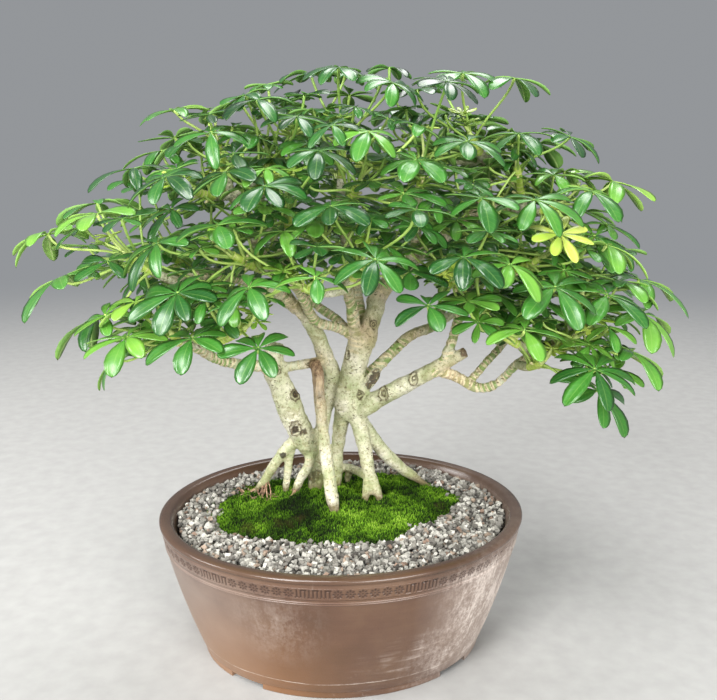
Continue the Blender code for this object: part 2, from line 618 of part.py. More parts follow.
def twig_and_stem(tip, limb_points):
    """The curve from the best place on a limb to a shoot's tip, split into a woody and a green part."""
    def cost(point):
        reach = (tip - point.xyz).length
        too_near = max(0.0, TWIG_LENGTH - reach)
        too_high = max(0.0, point.z + TWIG_RISE - tip.z)
        return reach + SHORT_COST * too_near + HIGH_COST * too_high

    start = min(limb_points, key=cost)
    span = tip - start.xyz
    middle = start.xyz + span * 0.5 - UP * span.length * TWIG_SAG
    thick = min(TWIG_RADIUS, start.w * TWIG_TO_LIMB)
    curve = []
    for step in range(STEM_SPANS + 1):
        t = step / STEM_SPANS
        place = start.xyz * (1 - t) ** 2 + middle * 2 * t * (1 - t) + tip * t * t
        radius = thick + (STEM_TIP_RADIUS - thick) * t
        curve.append(Vector((*place, radius)))
    cut_index = round(STEM_SPANS * WOODY_SHARE)
    twig = curve[:cut_index + 1]
    way = (curve[cut_index + 1].xyz - curve[cut_index - 1].xyz).normalized()
    stem = [point.copy() for point in curve[cut_index:]]
    stem[0] = Vector((*(stem[0].xyz + way * GAP), stem[0].w))
    return twig, stem, way


# Leaves

def chance_way(chance):
    """A vector with each part from -1 to 1."""
    return Vector([chance.uniform(-1, 1) for _ in range(3)])


def leaf_pose(tip, place, order, attempt):
    """Where one palmate leaf sits: its hub, how it faces and points, its length, leaflets and droop."""
    look = random.Random(order)
    nudge = random.Random(order * 1000 + attempt)
    loose = min(1.0, attempt / LOOSE_TRIES)
    hub = place + chance_way(nudge) * LEAF_SHIFT * loose
    reach = hub - tip
    outward = Vector((hub.x, hub.y, 0.0)).normalized()
    facing = UP * FACE_UP + reach.normalized() * FACE_ALONG + outward * FACE_OUT
    facing += chance_way(look) * FACE_SWAY + chance_way(nudge) * LEAF_TILT * loose
    facing.normalize()
    forward = reach + outward * FORWARD_OUT
    forward = (forward - facing * forward.dot(facing)).normalized()
    turn = look.uniform(-FORWARD_TURN, FORWARD_TURN) + nudge.uniform(-LEAF_TURN, LEAF_TURN) * loose
    forward.rotate(Matrix.Rotation(turn, 3, facing))
    to_end = abs(hub.x) / CROWN_HALF_LENGTH
    size = (MIDDLE_SIZE + END_SIZE * to_end) * look.uniform(*SIZE_RANGE) * (1 - LEAF_SHRINK * loose)
    leaflets = look.choice(FRONT_LEAFLETS if hub.y < BACK_OF_CROWN else BACK_LEAFLETS)
    droop = look.uniform(*DROOP_RANGE) + END_DROOP * to_end
    return hub, facing, forward, LEAFLET_LENGTH * size, leaflets, droop


def leaflet_point(pose, turn, length, along, across, lift=0.0):
    """A point on a leaflet: along from hub to tip as a share, across and lift in metres."""
    hub, facing, forward, _, _, droop = pose
    side = facing.cross(forward)
    way = forward * math.cos(turn) + side * math.sin(turn)
    beside = facing.cross(way)
    out = length * along * (1 - LEAFLET_CURL * along * along)
    rise = length * (LEAFLET_RISE * along - droop * along * along)
    channel = LEAFLET_CHANNEL * abs(across)
    return hub + way * out + beside * across + facing * (rise + channel + lift)


def leaflet_turn(index, count):
    """The angle of a leaflet from the leaf's forward way. The leaf is open towards its petiole."""
    return LEAF_SPREAD * (index / (count - 1) - 0.5)


def leaflet_length(pose, turn):
    return pose[3] * (1 - OUTER_LEAFLET_LOSS * (abs(turn) / math.pi) ** 1.5)


def petiole_curve(pose, start, stem_way):
    """The curve from the stem to the hub, where it arrives square to the leaf."""
    hub, facing = pose[0], pose[1]
    reach = hub - start
    leave = start + (stem_way + 2 * reach.normalized()) * reach.length * PETIOLE_BEND / 2
    arrive = hub - facing * reach.length * PETIOLE_BEND
    curve = []
    for step in range(PETIOLE_SPANS + 1):
        t = step / PETIOLE_SPANS
        point = start * (1 - t) ** 3 + leave * 3 * t * (1 - t) ** 2
        point += arrive * 3 * t * t * (1 - t) + hub * t ** 3
        curve.append(point)
    return curve


def leaf_mesh(pose, start, stem_way, extra=0.0):
    """Points and faces of one leaf: leaflets cut to the rib in one thin arched blade, on its petiole."""
    hub, facing, forward, _, count, _ = pose
    half_rib = RIB_THICKNESS / 2 + extra
    points = [hub + facing * half_rib]
    faces = []

    turns = [leaflet_turn(index, count) for index in range(count)]
    notch_turns = [turns[0] - EDGE_NOTCH_TURN]
    notch_turns += [0.5 * (left + right) for left, right in zip(turns, turns[1:])]
    notch_turns.append(turns[-1] + EDGE_NOTCH_TURN)
    notches = []
    for turn in notch_turns:
        notches.append(len(points))
        points.append(leaflet_point(pose, turn, leaflet_length(pose, turn), NOTCH_SHARE, 0.0))

    upper_loop = []
    lower_loop = []
    for index, turn in enumerate(turns):
        length = leaflet_length(pose, turn)
        half = length * LEAFLET_WIDTH_SHARE / 2
        rib = len(points)
        for lift in (half_rib, -half_rib):
            points.append(leaflet_point(pose, turn, length, RIB_PLACE, 0.0, lift))
        for side, (along, across) in ((-1, SHOULDER), (-1, TIP_CORNER), (1, TIP_CORNER), (1, SHOULDER)):
            points.append(leaflet_point(pose, turn, length, along, side * across * half))
        rim = (notches[index], rib + 2, rib + 3, rib + 4, rib + 5, notches[index + 1])
        for left, right in zip(rim, rim[1:]):
            faces.append((left, right, rib))
            faces.append((right, left, rib + 1))
        upper_loop += [notches[index], rib]
        lower_loop += [(notch_turns[index], notches[index]), (turn, rib + 1)]
    upper_loop.append(notches[count])
    lower_loop.append((notch_turns[count], notches[count]))
    for left, right in zip(upper_loop, upper_loop[1:] + upper_loop[:1]):
        faces.append((0, right, left))

    petiole = petiole_rings(pose, start, stem_way, PETIOLE_RADIUS + extra, half_rib)
    first = len(points)
    for ring in petiole:
        points += ring
    nearest = []
    last_corner = (lower_loop[0][0] + math.tau, lower_loop[0][1])
    for left, right in zip(lower_loop, lower_loop[1:] + [last_corner]):
        middle = 0.5 * (left[0] + right[0])
        gaps = [abs(math.remainder(middle - turn, math.tau)) for turn in PETIOLE_TURNS]
        nearest.append(first + gaps.index(min(gaps)))
        faces.append((left[1], right[1], nearest[-1]))
    for index, (_, corner) in enumerate(lower_loop):
        if nearest[index] != nearest[index - 1]:
            faces.append((corner, nearest[index], nearest[index - 1]))
    for row in range(len(petiole) - 1):
        above = first + 3 * row
        below = above + 3
        for step in range(3):
            after = (step + 1) % 3
            faces.append((above + step, above + after, below + after))
            faces.append((above + step, below + after, below + step))
    last = first + 3 * (len(petiole) - 1)
    faces.append((last, last + 1, last + 2))
    return points, faces


def petiole_rings(pose, start, stem_way, radius, half_rib):
    """Rings of three points from the underside of the hub down to the stem."""
    hub, facing, forward = pose[:3]
    curve = petiole_curve(pose, start, stem_way)
    curve.reverse()
    ways = [-facing]
    for index in range(1, len(curve)):
        ways.append((curve[index] - curve[index - 1]).normalized())
    across = forward
    rings = []
    for index, centre in enumerate(curve):
        across = (across - ways[index] * across.dot(ways[index])).normalized()
        other = across.cross(ways[index])
        if index == 0:
            centre = hub - facing * half_rib
        ring = []
        for turn in PETIOLE_TURNS:
            ring.append(centre + (across * math.cos(turn) + other * math.sin(turn)) * radius)
        rings.append(ring)
    return rings


def leaf_start(tip, stem_way, index):
    """Where a leaf's petiole leaves the stem: one below the other from the tip down."""
    return tip - stem_way * PETIOLE_SPACING * (FIRST_PETIOLE + index)


def surface(points, faces):
    """A search tree over a surface, with the box round it."""
    low = Vector([min(point[axis] for point in points) for axis in range(3)])
    high = Vector([max(point[axis] for point in points) for axis in range(3)])
    return BVHTree.FromPolygons(points, faces), low, high


def object_surface(thing):
    points = [vertex.co.copy() for vertex in thing.data.vertices]
    faces = [tuple(face.vertices) for face in thing.data.polygons]
    return surface(points, faces)


def crosses(first, second):
    for axis in range(3):
        if first[1][axis] > second[2][axis] or second[1][axis] > first[2][axis]:
            return False
    return bool(first[0].overlap(second[0]))


def split_leaf(pose, start, stem_way, extra):
    """The surfaces of a leaf's blade and of its petiole."""
    points, faces = leaf_mesh(pose, start, stem_way, extra)
    blade_points = 1 + (pose[4] + 1) + 6 * pose[4]
    blade = [face for face in faces if max(face) < blade_points + 3]
    petiole = [face for face in faces if max(face) >= blade_points + 3]
    return surface(points, blade), surface(points, petiole)


def free_pose(tip, stem_way, place, order, index, obstacles, siblings, own_stem):
    """The first pose of a leaf that crosses nothing that is already there."""
    start = leaf_start(tip, stem_way, index)
    for attempt in range(LEAF_TRIES):
        pose = leaf_pose(tip, place, order, attempt)
        blade, petiole = split_leaf(pose, start, stem_way, LEAF_CLEARANCE)
        if crosses(blade, own_stem):
            continue
        if any(crosses(blade, other) or crosses(petiole, other) for other in obstacles):
            continue
        if any(crosses(blade, other[0]) or crosses(blade, other[1]) or crosses(petiole, other[0])
               for other in siblings):
            continue
        return pose
    raise RuntimeError(f"leaf {order} has no free place")


# Assembly

def make_tree(routes, twigs, finish):
    """All wood in one piece: trunks, roots and limbs with a twig for each shoot."""
    pieces = [tube("wood", route) for route in routes.values()]
    for twig, _, way in twigs:
        pieces.append(tube("wood", twig, last_way=way, sides=STEM_SIDES))
    tree = pieces[0]
    tree.name = "tree"
    join(tree, pieces[1:])
    tree.data.materials.clear()
    tree.data.materials.append(finish)
    tree.data.shade_smooth()
    tree.data.set_sharp_from_angle(angle=math.radians(WOOD_SMOOTH_ANGLE))
    return tree


def make_shoots(twigs, wood, finish):
    """Every leafy shoot: its stem and its leaves, in one piece."""
    stems = []
    for number, (_, stem, way) in enumerate(twigs, 1):
        name = f"leafy_shoot_{number:02d}"
        stems.append(tube(name, stem, first_way=way, sides=STEM_SIDES))
    stem_surfaces = [object_surface(stem) for stem in stems]
    taken = []
    for number, (tip, *places) in enumerate(SHOOTS):
        tip = tree_point(*tip)
        stem_route = twigs[number][1]
        stem_way = (stem_route[-1].xyz - stem_route[-2].xyz).normalized()
        others = wood + stem_surfaces[:number] + stem_surfaces[number + 1:] + taken
        leaves = []
        siblings = []
        for index, place in enumerate(places):
            order = 10 * number + index
            pose = free_pose(tip, stem_way, tree_point(*place), order, index, others, siblings,
                             stem_surfaces[number])
            start = leaf_start(tip, stem_way, index)
            points, faces = leaf_mesh(pose, start, stem_way)
            leaves.append(solid("leaf", points, faces))
            siblings.append(split_leaf(pose, start, stem_way, 0.0))
        taken += [part for sibling in siblings for part in sibling]
        join(stems[number], leaves)
        stems[number].data.materials.clear()
        stems[number].data.materials.append(finish)


def main():
    for thing in list(bpy.data.objects):
        bpy.data.objects.remove(thing)
    stoneware = material("brown stoneware", (0.085, 0.045, 0.032), 0.45)
    grit_finish = material("pale grit", (0.42, 0.38, 0.35), 0.9)
    moss_finish = material("moss", (0.06, 0.14, 0.015), 1.0)
    mix_finish = material("growing mix", (0.05, 0.035, 0.025), 1.0)
    bark = material("pale bark", (0.45, 0.42, 0.26), 0.75)
    foliage = material("green leaves", (0.03, 0.14, 0.02), 0.35)
    screen = material("black plastic", (0.01, 0.01, 0.01), 0.5)

    make_pot(stoneware)
    for name, place in zip(("drain_mesh_left", "drain_mesh_right"), DRAIN_PLACES):
        make_drain_mesh(name, place, screen)
    soil = make_soil(mix_finish)
    make_gravel(grit_finish)
    moss = make_moss(moss_finish)

    routes = {name: limb_route(stations, TUBE_SPACING) for name, stations in TRUNKS_AND_ROOTS.items()}
    routes.update({name: limb_route(stations, LIMB_SPACING) for name, stations in LIMBS.items()})
    limb_points = [point for name in LIMBS for point in routes[name][1:]]
    twigs = [twig_and_stem(tree_point(*shoot[0]), limb_points) for shoot in SHOOTS]
    tree = make_tree(routes, twigs, bark)

    for bed in (soil, moss):
        for name, stations in TRUNKS_AND_ROOTS.items():
            if min(station[2] for station in stations) * CM < MOSS_CROWN_TOP:
                cut(bed, root_hole(routes[name]))
    make_shoots(twigs, [object_surface(tree)], foliage)


main()
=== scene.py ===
# %% [markdown]
# # A dwarf umbrella tree bonsai in an oval stoneware pot
#
# A plain model of this tree has its pot, wood and leafy shoots as simple solids. This lesson keeps their
# sizes and gives each of them the surface of the real thing: bark, leaflets with veins, moss, grit and a
# stamped pot. Lengths are in metres, +Z is up, and the origin is on the table under the middle of the pot.

# %% Load the plain model
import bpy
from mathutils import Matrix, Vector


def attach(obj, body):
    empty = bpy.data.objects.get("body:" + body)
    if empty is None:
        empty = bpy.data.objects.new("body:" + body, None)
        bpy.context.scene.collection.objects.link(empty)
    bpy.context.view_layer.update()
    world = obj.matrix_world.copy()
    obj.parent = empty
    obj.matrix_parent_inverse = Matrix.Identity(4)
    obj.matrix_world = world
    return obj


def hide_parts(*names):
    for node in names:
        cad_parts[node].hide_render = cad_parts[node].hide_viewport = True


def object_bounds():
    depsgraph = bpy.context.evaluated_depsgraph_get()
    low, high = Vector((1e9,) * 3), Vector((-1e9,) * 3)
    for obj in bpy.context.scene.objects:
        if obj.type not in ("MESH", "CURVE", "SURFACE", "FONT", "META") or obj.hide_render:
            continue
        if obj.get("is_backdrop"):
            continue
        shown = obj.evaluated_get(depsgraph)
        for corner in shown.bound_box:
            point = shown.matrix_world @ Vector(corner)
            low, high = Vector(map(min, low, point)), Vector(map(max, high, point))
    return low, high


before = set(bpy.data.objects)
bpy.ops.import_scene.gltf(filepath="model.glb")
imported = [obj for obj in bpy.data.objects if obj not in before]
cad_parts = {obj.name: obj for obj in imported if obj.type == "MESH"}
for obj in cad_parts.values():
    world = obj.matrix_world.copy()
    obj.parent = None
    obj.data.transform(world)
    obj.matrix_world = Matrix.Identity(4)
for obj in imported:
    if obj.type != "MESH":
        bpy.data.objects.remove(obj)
cad_low, cad_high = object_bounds()
print("plain model:", len(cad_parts), "nodes,", [round(side, 3) for side in cad_high - cad_low], "m")

# %% Import what the lesson needs
import math
import random

import bpy
import numpy as np
from mathutils import Matrix, Vector, kdtree, noise

MM = 0.001
CM = 0.01
UP = Vector((0.0, 0.0, 1.0))

# %% [markdown]
# ## The photograph's view
#
# The tree's front is turned a few degrees from the pot's front. All places on the tree are given in
# centimetres in its front view: x to the right, y away from the eye and z above the table. One function
# turns them into the pot's frame. The camera stands in that front view too, so it needs only a place and a
# tilt.

# %% Place the camera
TREE_TURN = math.radians(-6.6)
IMAGE_WIDTH = 717
FOCAL_PIXELS = 850
CAMERA_PLACE = (1.363, -66.32, 40.44)
CAMERA_TILT = math.radians(13.24)


def tree_point(x, y, z):
    """A point of the tree's front view, in centimetres, placed in the pot's frame in metres."""
    return Matrix.Rotation(TREE_TURN, 3, "Z") @ (Vector((x, y, z)) * CM)


def into_scene(name, data):
    """A new object with this data, linked to the scene."""
    made = bpy.data.objects.new(name, data)
    bpy.context.scene.collection.objects.link(made)
    return made


camera = into_scene("camera", bpy.data.cameras.new("camera"))
camera.data.sensor_width = 36
camera.data.lens = camera.data.sensor_width * FOCAL_PIXELS / IMAGE_WIDTH
camera.location = tree_point(*CAMERA_PLACE)
camera.rotation_euler = (math.pi / 2 - CAMERA_TILT, 0, TREE_TURN)
bpy.context.scene.camera = camera
print("camera:", round(camera.data.lens, 2), "mm lens,", round(camera.location.length, 3), "m away")

# %% [markdown]
# ## Small helpers
#
# Colours are written as sRGB hex, the way a paint chart gives them, and one function turns them into the
# linear numbers that shaders need. One function adds a node to a material with its settings and links. One
# function makes a piece from points and faces and lets it ride on the model's single body.

# %% Colours and nodes
def linear(code):
    """An sRGB hex colour as linear red, green, blue and alpha."""
    channels = [int(code[start:start + 2], 16) / 255 for start in (0, 2, 4)]
    return (*(c / 12.92 if c <= 0.04045 else ((c + 0.055) / 1.055) ** 2.4 for c in channels), 1.0)


def connect(finish, node, sockets):
    """Give each socket of a node its value or its link."""
    for socket, value in sockets.items():
        if isinstance(value, bpy.types.NodeSocket):
            finish.node_tree.links.new(value, node.inputs[socket])
        else:
            node.inputs[socket].default_value = value


def add(finish, kind, sockets=None, output=0, stops=(), **settings):
    """Add a node with its settings and links, and return one of its outputs."""
    node = finish.node_tree.nodes.new("ShaderNode" + kind)
    for name, value in settings.items():
        setattr(node, name, value)
    for index, (place, code) in enumerate(stops):
        elements = node.color_ramp.elements
        stop = elements[index] if index < 2 else elements.new(place)
        stop.position = place
        stop.color = linear(code)
    connect(finish, node, sockets or {})
    return node.outputs[output]


def new_finish(name):
    """A finish, its shader and the spot on the piece, in metres, that its patterns are laid by."""
    finish = bpy.data.materials.new(name)
    finish.use_nodes = True
    return finish, finish.node_tree.nodes["Principled BSDF"], add(finish, "TexCoord", output=3)


# %% Pieces from points and faces
def piece(name, points, faces, finishes, replaced=(), slots=None, marks=None, smooth=True):
    """A mesh piece on the root body. slots gives each face's finish, and marks gives each point a value."""
    mesh = bpy.data.meshes.new(name)
    mesh.from_pydata(np.asarray(points, dtype=float).tolist(), [], [tuple(face) for face in faces])
    for finish in finishes:
        mesh.materials.append(finish)
    if slots is not None:
        mesh.polygons.foreach_set("material_index", np.asarray(slots, dtype=np.int32))
    for mark, values in (marks or {}).items():
        values = np.asarray(values, dtype=np.float32)
        kind, key = ("FLOAT", "value") if values.ndim == 1 else ("FLOAT_VECTOR", "vector")
        mesh.attributes.new(mark, kind, "POINT").data.foreach_set(key, values.ravel())
    mesh.polygons.foreach_set("use_smooth", np.full(len(mesh.polygons), smooth))
    mesh.update()
    made = into_scene(name, mesh)
    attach(made, "root")
    if replaced:
        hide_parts(*replaced)
    triangles = sum(len(face.vertices) - 2 for face in mesh.polygons)
    print(f"{name}: {triangles} triangles")
    return made


def ring_faces(rings, sides, closed=False):
    """Four-sided faces between rings of equal length, which follow each other in the list of points."""
    rows = np.arange(rings if closed else rings - 1)[:, None]
    steps = np.arange(sides)[None, :]
    after = (steps + 1) % sides
    above = (rows + 1) % rings
    faces = [rows * sides + steps, rows * sides + after, above * sides + after, above * sides + steps]
    return np.stack(faces, -1).reshape(-1, 4).tolist()


def lump(points, size, seed=0.0):
    """Smooth noise from about -1 to 1 at each point, with lumps of the given size."""
    shift = Vector((seed, 2.3 * seed, 5.1 * seed))
    return np.array([noise.noise(Vector(point) / size + shift) for point in points])

# %% [markdown]
# ## The pot
#
# The pot is unglazed brown stoneware, pressed in an oval mould: a foot ring with four cut-outs, a wall that
# leans out, a double line and a band of stamps under a rolled bead, and a lip that slopes in. A lathe can
# only make a round pot. Here each corner of the profile becomes an oval ring, set in from the rim's outline
# by its own amount, and each corner has the radius that it was smoothed to, so that it catches the light.

# %% Sizes of the pot
POT_HALF_LENGTH = 150 * MM
POT_HALF_WIDTH = 130 * MM
POT_HEIGHT = 116 * MM
FOOT_INSET = 34 * MM
FOOT_HEIGHT = 5.6 * MM
FOOT_STEP = 1.2 * MM
FOOT_WIDTH = 13 * MM
FOOT_ROUNDING = 0.8 * MM
FLOOR_TOP = 14 * MM
WALL_BULGE = 3 * MM
WALL_THICKNESS = 9 * MM
LIP_HEIGHT = POT_HEIGHT - 6 * MM
LIP_INSET = 12.5 * MM
BEAD_BOTTOM = POT_HEIGHT - 4.6 * MM
LINE_TOP = POT_HEIGHT - 19.3 * MM
LINE_PITCH = 1.5 * MM
LINE_DEPTH = 0.7 * MM
BAND_MIDDLE = POT_HEIGHT - 12.6 * MM
BAND_HALF_HEIGHT = 5.2 * MM
BAND_BED_DEPTH = 1.4 * MM
DRAIN_RADIUS = 10 * MM
DRAIN_SIDES = 48
DRAIN_PLACES = (-45 * MM, 45 * MM)
CUT_OUT_WIDTH = 31 * MM
CUT_OUT_HEIGHT = 4.4 * MM
CUT_OUT_ANGLES = (45, 135, 225, 315)
POT_SIDES = 216
WALL_ROWS = 14


def wall_inset(height):
    """How far the outer wall stands in from the rim's outline at a height."""
    share = height / POT_HEIGHT
    return FOOT_INSET * (1 - share) - 4 * WALL_BULGE * share * (1 - share)


def inner_inset(height):
    """The same for the straight inner wall."""
    share = (height - FLOOR_TOP) / (LIP_HEIGHT - FLOOR_TOP)
    foot = wall_inset(FLOOR_TOP) + WALL_THICKNESS
    return foot + (LIP_INSET - foot) * share


def oval(inset, height, turns):
    """A ring of points at an inset from the rim's outline."""
    x = (POT_HALF_LENGTH - inset) * np.cos(turns)
    y = (POT_HALF_WIDTH - inset) * np.sin(turns)
    return np.stack([x, y, np.full_like(x, height)], -1)


# %% The pot's profile, from the inside of the foot round to the floor
def rounded(corners, steps=3):
    """Round each corner (inset, height, radius) of an open profile with a short curve."""
    profile = [corners[0][:2]]
    for before, corner, after in zip(corners, corners[1:], corners[2:]):
        middle = np.array(corner[:2])
        ends = []
        for other in (before, after):
            way = np.array(other[:2]) - middle
            length = np.linalg.norm(way)
            ends.append(middle + way / length * min(corner[2], 0.45 * length))
        for step in range(steps + 1):
            t = step / steps
            profile.append(tuple(ends[0] * (1 - t) ** 2 + middle * 2 * t * (1 - t) + ends[1] * t * t))
    profile.append(corners[-1][:2])
    return profile


foot = wall_inset(FOOT_HEIGHT) + FOOT_STEP
corners = [
    (foot + FOOT_WIDTH, FOOT_HEIGHT, 0),
    (foot + FOOT_WIDTH, 0.0, FOOT_ROUNDING),
    (foot, 0.0, FOOT_ROUNDING),
    (foot, FOOT_HEIGHT, 0.5 * MM),
    (wall_inset(FOOT_HEIGHT), FOOT_HEIGHT + 0.4 * MM, 0.9 * MM),
]
wall_top = LINE_TOP - 2 * LINE_PITCH
for row in range(1, WALL_ROWS):
    height = FOOT_HEIGHT + (wall_top - FOOT_HEIGHT) * row / WALL_ROWS
    corners.append((wall_inset(height), height, 2 * MM))
for line in range(2):
    start = wall_top + line * LINE_PITCH
    corners += [
        (wall_inset(start), start, 0.2 * MM),
        (wall_inset(start) - LINE_DEPTH, start + 0.35 * LINE_PITCH, 0.3 * MM),
        (wall_inset(start) - LINE_DEPTH, start + 0.65 * LINE_PITCH, 0.3 * MM),
    ]
band_low = BAND_MIDDLE - BAND_HALF_HEIGHT
band_high = BAND_MIDDLE + BAND_HALF_HEIGHT
corners += [
    (wall_inset(LINE_TOP), LINE_TOP, 0.2 * MM),
    (wall_inset(band_low), band_low, 0.1 * MM),
    (wall_inset(band_low) + BAND_BED_DEPTH, band_low + 0.5 * MM, 0.1 * MM),
    (wall_inset(band_high) + BAND_BED_DEPTH, band_high - 0.5 * MM, 0.1 * MM),
    (wall_inset(band_high), band_high, 0.1 * MM),
    (wall_inset(BEAD_BOTTOM) + 0.9 * MM, BEAD_BOTTOM - 1.0 * MM, 0.5 * MM),
    (wall_inset(BEAD_BOTTOM) + 0.7 * MM, BEAD_BOTTOM, 0.4 * MM),
    (0.0, BEAD_BOTTOM + 0.9 * MM, 1.3 * MM),
    (0.2 * MM, POT_HEIGHT - 1.2 * MM, 1.4 * MM),
    (3.0 * MM, POT_HEIGHT, 1.6 * MM),
    (9.5 * MM, POT_HEIGHT - 0.5 * MM, 2.0 * MM),
    (LIP_INSET, LIP_HEIGHT, 2.0 * MM),
    (inner_inset(FLOOR_TOP), FLOOR_TOP, 4 * MM),
    (inner_inset(FLOOR_TOP) + 30 * MM, FLOOR_TOP, 0),
]
profile = rounded(corners)
print("profile of", len(profile), "points")

# %% [markdown]
# ### The stoneware
#
# The clay fired to a warm brown and was burnished before the kiln, so it has a satin face with a few dark
# iron specks and faint marks round it from smoothing. Hard water has left a whitish bloom: streaks down the
# right side, a thin haze left of the middle, a smear and one scale line above the foot. Both ends of the oval
# are also painted paler, a painted sheen, which on the right is mixed with bloom. Low on the left the clay is
# a lighter tan. In the stamps the colour is painted dark: painted shade in the recesses. Fired clay has an
# IOR of about 1.5.

# %% Finish: burnished brown stoneware with lime bloom
stoneware, shader, spot = new_finish("burnished brown stoneware")
place = add(stoneware, "SeparateXYZ", {0: spot}).node
turning = add(stoneware, "Mapping", {0: spot, "Scale": (22, 22, 260)})
streaks = add(stoneware, "TexNoise", {"Vector": turning, "Scale": 1.0, "Detail": 5.0, "Roughness": 0.6})
firing = add(stoneware, "TexNoise", {"Vector": spot, "Scale": 14.0, "Detail": 4.0, "Roughness": 0.55})
faint = add(stoneware, "Math", {0: streaks, 1: 0.15}, operation="MULTIPLY")
tone = add(stoneware, "Math", {0: firing, 1: faint})
clay = add(stoneware, "ValToRGB", {0: tone}, stops=((0.40, "4d382a"), (0.57, "573f31"), (0.72, "624a39")))
on_lip = add(stoneware, "MapRange", {0: place.outputs[2], 1: 0.109, 2: 0.114, 4: 0.40})
specks = add(stoneware, "TexVoronoi", {"Vector": spot, "Scale": 420.0})
is_speck = add(stoneware, "MapRange", {0: specks, 1: 0.10, 2: 0.16, 3: 0.45, 4: 0.0})
low_left = add(stoneware, "MapRange", {0: place.outputs[0], 1: 0.01, 2: -0.11})
low = add(stoneware, "MapRange", {0: place.outputs[2], 1: 0.080, 2: 0.018, 4: 0.66})
tan_share = add(stoneware, "Math", {0: low_left, 1: low}, operation="MULTIPLY")
for share, code in ((on_lip, "3a2b20"), (is_speck, "3b2a22"), (tan_share, "996b40")):
    clay = add(stoneware, "Mix", {0: share, 6: clay, 7: linear(code)}, 2, data_type="RGBA")
print("clay:", len(stoneware.node_tree.nodes), "nodes so far")

# %% The bloom on the stoneware, and a painted sheen on its sides
runs = add(stoneware, "Mapping", {0: spot, "Scale": (62, 62, 26), "Rotation": (0.3, 0.5, 0)})
runs = add(stoneware, "TexNoise", {"Vector": runs, "Scale": 1.0, "Detail": 9.0, "Roughness": 0.66,
                                   "Distortion": 0.25})
powder = add(stoneware, "TexNoise", {"Vector": spot, "Scale": 420.0, "Detail": 4.0, "Roughness": 0.7})
wisps = add(stoneware, "Mapping", {0: spot, "Scale": (330, 330, 60)})
wisps = add(stoneware, "TexNoise", {"Vector": wisps, "Scale": 1.0, "Detail": 6.0, "Roughness": 0.7})
to_right = add(stoneware, "MapRange", {0: place.outputs[0], 1: 0.030, 2: 0.115, 3: -0.12, 4: 0.15})
bloom_and_sheen = add(stoneware, "Math", {0: runs, 1: to_right})
bloom_and_sheen = add(stoneware, "Math", {0: wisps, 1: 0.45, 2: bloom_and_sheen}, operation="MULTIPLY_ADD")
bloom_and_sheen = add(stoneware, "Math", {0: powder, 1: 0.30, 2: bloom_and_sheen}, operation="MULTIPLY_ADD")
bloom_and_sheen = add(stoneware, "MapRange", {0: bloom_and_sheen, 1: 0.95, 2: 1.30, 4: 0.42})
grain = add(stoneware, "Math", {0: wisps, 1: powder})
grain = add(stoneware, "Math", {0: runs, 1: 1.2, 2: grain}, operation="MULTIPLY_ADD")
grain = add(stoneware, "MapRange", {0: grain, 1: 1.44, 2: 1.86})
VEILS = (((-56, -102, 72), 44, 0.17), ((98, -92, 94), 55, 0.50), ((110, -60, 55), 62, 0.50),
         ((72, -92, 26), 44, 0.38))
for middle, reach, strength in VEILS:
    veil = add(stoneware, "VectorMath", {0: spot, 1: [side * MM for side in middle]}, 1, operation="DISTANCE")
    veil = add(stoneware, "MapRange", {0: veil, 1: 0.2 * reach * MM, 2: reach * MM, 3: strength, 4: 0.0})
    bloom_and_sheen = add(stoneware, "Math", {0: veil, 1: grain, 2: bloom_and_sheen}, operation="MULTIPLY_ADD")
smear = add(stoneware, "VectorMath", {0: spot, 1: (0.040, -0.100, 0.020)}, 1, operation="DISTANCE")
smear = add(stoneware, "MapRange", {0: smear, 1: 0.015, 2: 0.050, 3: 1.0, 4: 0.0})
swept = add(stoneware, "MapRange", {0: streaks, 1: 0.50, 2: 0.68, 4: 0.40})
patchy = add(stoneware, "MapRange", {0: runs, 1: 0.44, 2: 0.62})
swept = add(stoneware, "Math", {0: swept, 1: patchy}, operation="MULTIPLY")
bloom_and_sheen = add(stoneware, "Math", {0: smear, 1: swept, 2: bloom_and_sheen}, operation="MULTIPLY_ADD")
# Both ends of the oval are painted paler: a painted sheen, which on the right is mixed with bloom.
bloom_and_sheen_right = add(stoneware, "MapRange", {0: place.outputs[0], 1: 0.040, 2: 0.120, 4: 0.72})
painted_sheen_left = add(stoneware, "MapRange", {0: place.outputs[0], 1: -0.055, 2: -0.125, 4: 0.42})
side_bloom_and_sheen = add(stoneware, "Math", {0: bloom_and_sheen_right, 1: painted_sheen_left})
side_bloom_and_sheen = add(stoneware, "Math", {0: side_bloom_and_sheen, 1: firing}, operation="MULTIPLY")
bloom_and_sheen = add(stoneware, "Math", {0: bloom_and_sheen, 1: side_bloom_and_sheen})
off_rim = add(stoneware, "MapRange", {0: place.outputs[2], 1: 0.113, 2: 0.100, 3: 0.12})
bloom_and_sheen = add(stoneware, "Math", {0: bloom_and_sheen, 1: off_rim}, operation="MULTIPLY")
wander = add(stoneware, "TexNoise", {"Vector": spot, "Scale": 22.0, "Detail": 3.0})
line_height = add(stoneware, "MapRange", {0: wander, 1: 0.3, 2: 0.7, 3: 0.0145, 4: 0.0160})
off_line = add(stoneware, "Math", {0: place.outputs[2], 1: line_height}, operation="SUBTRACT")
off_line = add(stoneware, "Math", {0: off_line}, operation="ABSOLUTE")
scale_line = add(stoneware, "MapRange", {0: off_line, 1: 0.0, 2: 0.0006, 3: 1.0, 4: 0.0})
broken = add(stoneware, "MapRange", {0: runs, 1: 0.40, 2: 0.60, 3: 0.1, 4: 0.75})
scale_line = add(stoneware, "Math", {0: scale_line, 1: broken}, operation="MULTIPLY")
